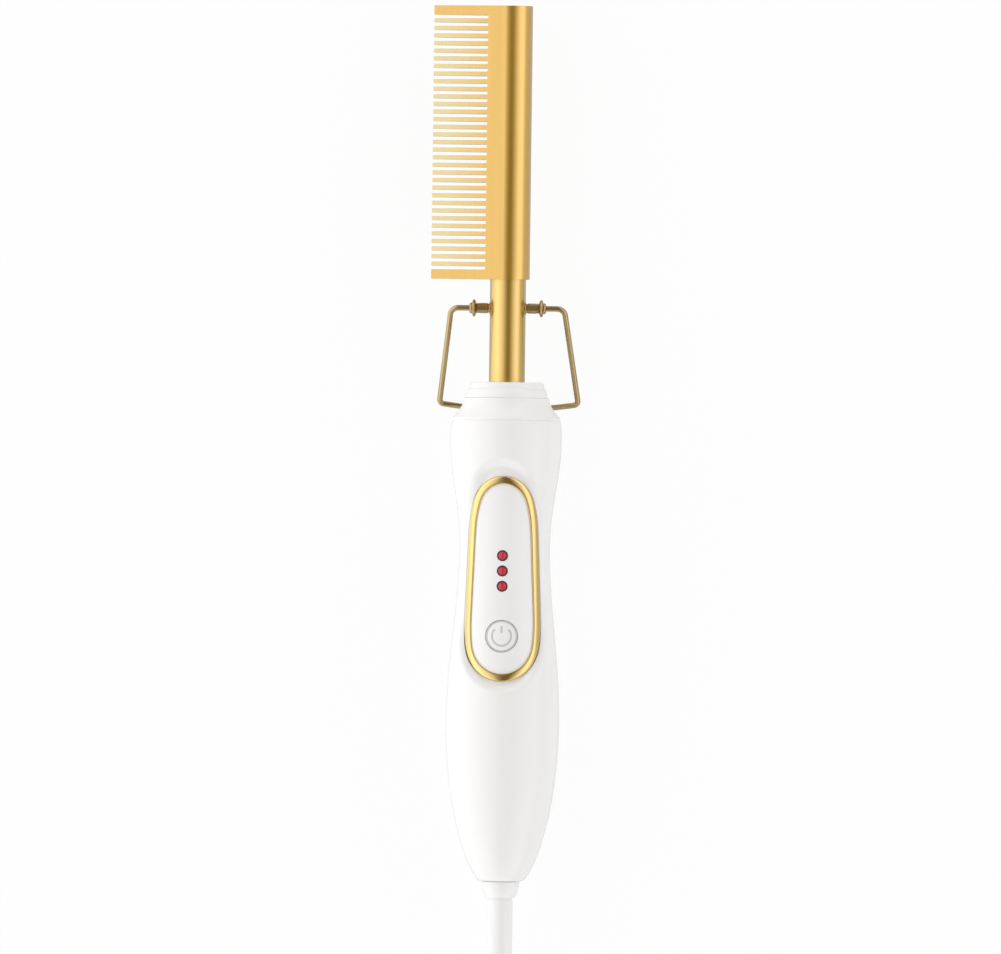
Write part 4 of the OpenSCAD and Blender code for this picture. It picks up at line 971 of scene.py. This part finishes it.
# Moulded nylon is near black, with a soft shine.
nylon = finish("moulded_nylon_sleeve", ("#1c1c1e", "#252527"), (0.35, 0.45), (0.6, 0.6, 0.6), 0.003, IOR=1.53)
plug_pieces, sleeves = [tie, plug_body], []
for side, name in ((-1, "plug_pin_left"), (1, "plug_pin_right")):
    at = (PLUG_X + side * PIN_X, PLUG_FACE, PLUG_Z)
    pin = turned(name + "_turned", [
        (0, PIN_ROOT), (PIN_CORE_R, PIN_ROOT), (PIN_CORE_R, -SLEEVE_LEN), (PIN_R, -SLEEVE_LEN - 0.02),
        (PIN_R, PIN_NOSE - PIN_LEN), (PIN_R - 0.12, PIN_NOSE - PIN_LEN - 0.3), (PIN_R - 0.4, -PIN_LEN + 0.1),
        (PIN_R - 0.75, -PIN_LEN), (0, -PIN_LEN)], "Y", at, steps=64)
    plug_pieces.append(settle(pin, "handle", nickel, [name], angle=25))
    sleeves.append(turned("pin_sleeves", [
        (PIN_CORE_R + 0.03, PIN_ROOT), (SLEEVE_R, PIN_ROOT), (SLEEVE_R, 0.25 - SLEEVE_LEN),
        (SLEEVE_R - 0.15, 0.1 - SLEEVE_LEN), (PIN_CORE_R + 0.03, 0.1 - SLEEVE_LEN)],
        "Y", at, steps=64, closed=True))
plug_pieces.append(settle(join(sleeves), "handle", nylon, ["plug_sleeves"], angle=25))

# ---- Finishes of the solids that stay: the working parts inside ----
INSIDE = (
    # Fired alumina is dull and slightly grainy.
    (("heater_plate",),
     finish("fired_alumina", ("#ece6d8", "#dfd8c7"), (0.5, 0.62), (0.4, 0.4, 0.4), 0.004, IOR=1.76)),
    # Extruded aluminium keeps fine lines along its length.
    (("heater_clamp_front", "heater_clamp_rear"),
     finish("mill_finish_aluminium", ("#c6c8cb", "#b3b6ba"), (0.28, 0.42), (0.25, 12, 0.25), 0.003,
            Metallic=1.0)),
    # Dipped epoxy is smooth and rounded, a little uneven.
    (("thermistor",),
     finish("dipped_epoxy", ("#17181a", "#232427"), (0.25, 0.4), (0.5, 0.5, 0.5), 0.02, IOR=1.54)),
    # A drawn can is bright and even.
    (("thermal_fuse",),
     finish("drawn_aluminium_can", ("#c9cacc", "#b9babd"), (0.22, 0.34), (2, 2, 2), 0.004, Metallic=1.0)),
    # Silicone insulation is soft and slightly dusty.
    (("heater_lead_live", "heater_lead_neutral", "sensor_leads"),
     finish("silicone_insulation", ("#ebebe7", "#dfdfda"), (0.5, 0.65), (0.6, 1.5, 0.6), 0.006, IOR=1.41)),
    # Braided glass yarn is pale and matt, with a crossing pattern about 0.6 mm apart.
    (("lead_sleeve",),
     finish("braided_glass_yarn", ("#e6dfcb", "#cfc6ad"), (0.7, 0.85), (0.6, 0.6, 0.6), 0.08, IOR=1.5)),
    (("shank_flange", "board_screws"), screw_steel),
    # Solder mask over glass cloth is glossy green, and the cloth shows as a faint texture.
    (("circuit_board",),
     finish("solder_mask_on_glass_cloth", ("#14522a", "#1a6334"), (0.28, 0.4), (0.8, 0.8, 0.8), 0.01,
            IOR=1.5)),
    # Moulded phenolic and epoxy packages come from sparked tools with a fine matt grain.
    (("switch_body", "microcontroller", "triac"),
     finish("moulded_epoxy_package", ("#1b1b1c", "#252526"), (0.5, 0.65), (0.25, 0.25, 0.25), 0.008,
            IOR=1.55)),
    # Acetal is a waxy grey.
    (("switch_plunger", "brush_block"),
     finish("moulded_acetal", ("#b4b4b2", "#a9a9a7"), (0.4, 0.5), (0.5, 0.5, 0.5), 0.004, IOR=1.48)),
    # A boxed film capacitor's shell is moulded, glossy and yellow.
    (("film_capacitor",),
     finish("moulded_yellow_pbt", ("#d8b43a", "#cda82f"), (0.25, 0.36), (0.7, 0.7, 0.7), 0.004, IOR=1.57)),
    # A shrunk sleeve follows the can under it and shines along its length.
    (("electrolytic_capacitor",),
     finish("shrunk_pvc_sleeve", ("#1f3566", "#28417a"), (0.2, 0.32), (1, 1, 3), 0.01, IOR=1.53)),
    # The cement on a wire-wound resistor is dull and sandy.
    (("power_resistor",),
     finish("silicone_cement", ("#4d7ca0", "#5f8cad"), (0.55, 0.7), (0.4, 0.4, 0.4), 0.02, IOR=1.5)),
    # Drawn glass is clear and smooth.
    (("glass_fuse",),
     finish("drawn_glass_tube", ("#e8eef0", "#e2eaec"), (0.03, 0.06), (3, 3, 3), 0.0, IOR=1.52,
            Transmission_Weight=0.85)),
    # Contact copper alloy is bright where it rubs.
    (("brush_live", "brush_neutral", "slip_ring_live", "slip_ring_neutral"),
     finish("phosphor_bronze", ("#d9a267", "#c98f55"), (0.18, 0.34), (0.4, 2, 0.4), 0.002, Metallic=1.0)),
    # Coloured PVC insulation has a soft shine.
    (("mains_lead_live",),
     finish("brown_pvc_insulation", ("#5a3321", "#6a3d28"), (0.4, 0.52), (0.6, 1.5, 0.6), 0.005, IOR=1.53)),
    (("mains_lead_neutral",),
     finish("blue_pvc_insulation", ("#1f49a6", "#2a56b6"), (0.4, 0.52), (0.6, 1.5, 0.6), 0.005, IOR=1.53)),
)
for names, material in INSIDE:
    for name in names:
        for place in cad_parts[name].material_slots:
            place.material = material

# ---- Table and light ----
SEEN_WHITE = 0.94  # share of plain white in the table as it is seen; the rest shows the object's shadow
MIRRORED_NEAR, MIRRORED_LEFT = 0.65, 1.3  # how white glossy surfaces see it: darker by the object, as a painted shadow, and lighter to its left
LEFT_FROM, LEFT_TO = -0.025, -0.045  # metres across, between which the first goes over into the second
floor = fresh(bpy.ops.mesh.primitive_plane_add, "table", size=60)
table_white = bpy.data.materials.new("table_white")
table_white.use_nodes = True
tree = table_white.node_tree
tree.nodes.remove(tree.nodes["Principled BSDF"])
path = add(tree, "ShaderNodeLightPath")
mirrored = add(tree, "ShaderNodeMath", {0: path.outputs["Is Glossy Ray"],
                                        1: path.outputs["Is Transmission Ray"]}, operation="MAXIMUM")
lit = add(tree, "ShaderNodeBsdfDiffuse", {"Color": paint("#f8f8f8")})
place = add(tree, "ShaderNodeSeparateXYZ", {0: add(tree, "ShaderNodeTexCoord").outputs["Object"]})
# Glossy rays see the table with a painted shadow by the object, and lighter to its left.
mirrored_painted_shadow = add(tree, "ShaderNodeMapRange",
                     {"Value": place.outputs["X"], "From Min": LEFT_FROM, "From Max": LEFT_TO,
                      "To Min": MIRRORED_NEAR, "To Max": MIRRORED_LEFT})
level = add(tree, "ShaderNodeMapRange", {"Value": path.outputs["Is Camera Ray"],
                                         "To Min": mirrored_painted_shadow.outputs[0], "To Max": 1.0})
glow = add(tree, "ShaderNodeEmission", {"Color": (1, 1, 1, 1), "Strength": level.outputs[0]})
seen = add(tree, "ShaderNodeMath", {0: path.outputs["Is Camera Ray"], 1: SEEN_WHITE}, operation="MULTIPLY")
share = add(tree, "ShaderNodeMath", {0: seen.outputs[0], 1: mirrored.outputs[0]}, operation="MAXIMUM")
both = add(tree, "ShaderNodeMixShader", {"Fac": share.outputs[0], 1: lit.outputs[0], 2: glow.outputs[0]})
tree.links.new(both.outputs[0], tree.nodes["Material Output"].inputs["Surface"])
floor.data.materials.append(table_white)

# The studio: long soft boxes on both sides of the handle, a dark gap between them overhead, and
# pale walls. Brightness by the angle about the handle's axis, from straight up, right positive.
STUDIO = (
    (-180, 0.55), (-130, 0.6), (-110, 1.0), (-94, 1.6), (-80, 1.75), (-64, 1.75), (-46, 1.42), (-32, 1.2),
    (-20, 0.85), (-11, 0.42), (0, 0.2), (16, 0.18), (25, 0.45), (36, 0.86), (46, 1.2), (58, 1.55), (75, 1.55),
    (86, 0.95), (96, 0.5), (130, 0.4), (180, 0.5),
)
GAP_LEVEL, GAP_TINT = 0.2, (1.0, 0.76, 0.6)  # the gap, up to this level, is a brown ceiling: it browns gold
NEAR_END_FROM, NEAR_END_TO, NEAR_END_LEVEL = -0.76, -0.95, 1.15  # a pale wall beyond the nose, by direction
world = bpy.data.worlds.new("studio")
bpy.context.scene.world = world
world.use_nodes = True
tree = world.node_tree
tree.nodes.clear()
way = add(tree, "ShaderNodeSeparateXYZ", {0: add(tree, "ShaderNodeTexCoord").outputs["Generated"]})
angle = add(tree, "ShaderNodeMath", {0: way.outputs["X"], 1: way.outputs["Z"]}, operation="ARCTAN2")
along = add(tree, "ShaderNodeMapRange", {"Value": angle.outputs[0], "From Min": -math.pi,
                                         "From Max": math.pi})
ramp = add(tree, "ShaderNodeValToRGB", {"Fac": along.outputs[0]})
stops = ramp.color_ramp.elements
for degrees, level in STUDIO:
    at = (degrees + 180) / 360
    stop = stops[0] if at == 0 else stops[len(stops) - 1] if at == 1 else stops.new(at)
    tint = GAP_TINT if level <= GAP_LEVEL else (1.0, 1.0, 1.0)
    stop.color = (*(level * part for part in tint), 1)
near_end = add(tree, "ShaderNodeMapRange", {"Value": way.outputs["Y"], "From Min": NEAR_END_FROM,
                                            "From Max": NEAR_END_TO})
level = add(tree, "ShaderNodeMix", {"Factor": near_end.outputs[0], "A": ramp.outputs["Color"],
                                    "B": (*(NEAR_END_LEVEL,) * 3, 1)}, data_type="RGBA")
studio_light = add(tree, "ShaderNodeBackground", {"Color": level.outputs["Result"], "Strength": 1.0})
white = add(tree, "ShaderNodeBackground", {"Color": (1, 1, 1, 1), "Strength": 1.0})
path = add(tree, "ShaderNodeLightPath")
both = add(tree, "ShaderNodeMixShader", {"Fac": path.outputs["Is Camera Ray"], 1: studio_light.outputs[0],
                                         2: white.outputs[0]})
add(tree, "ShaderNodeOutputWorld", {"Surface": both.outputs[0]})
bpy.context.scene.view_settings.view_transform = "Standard"
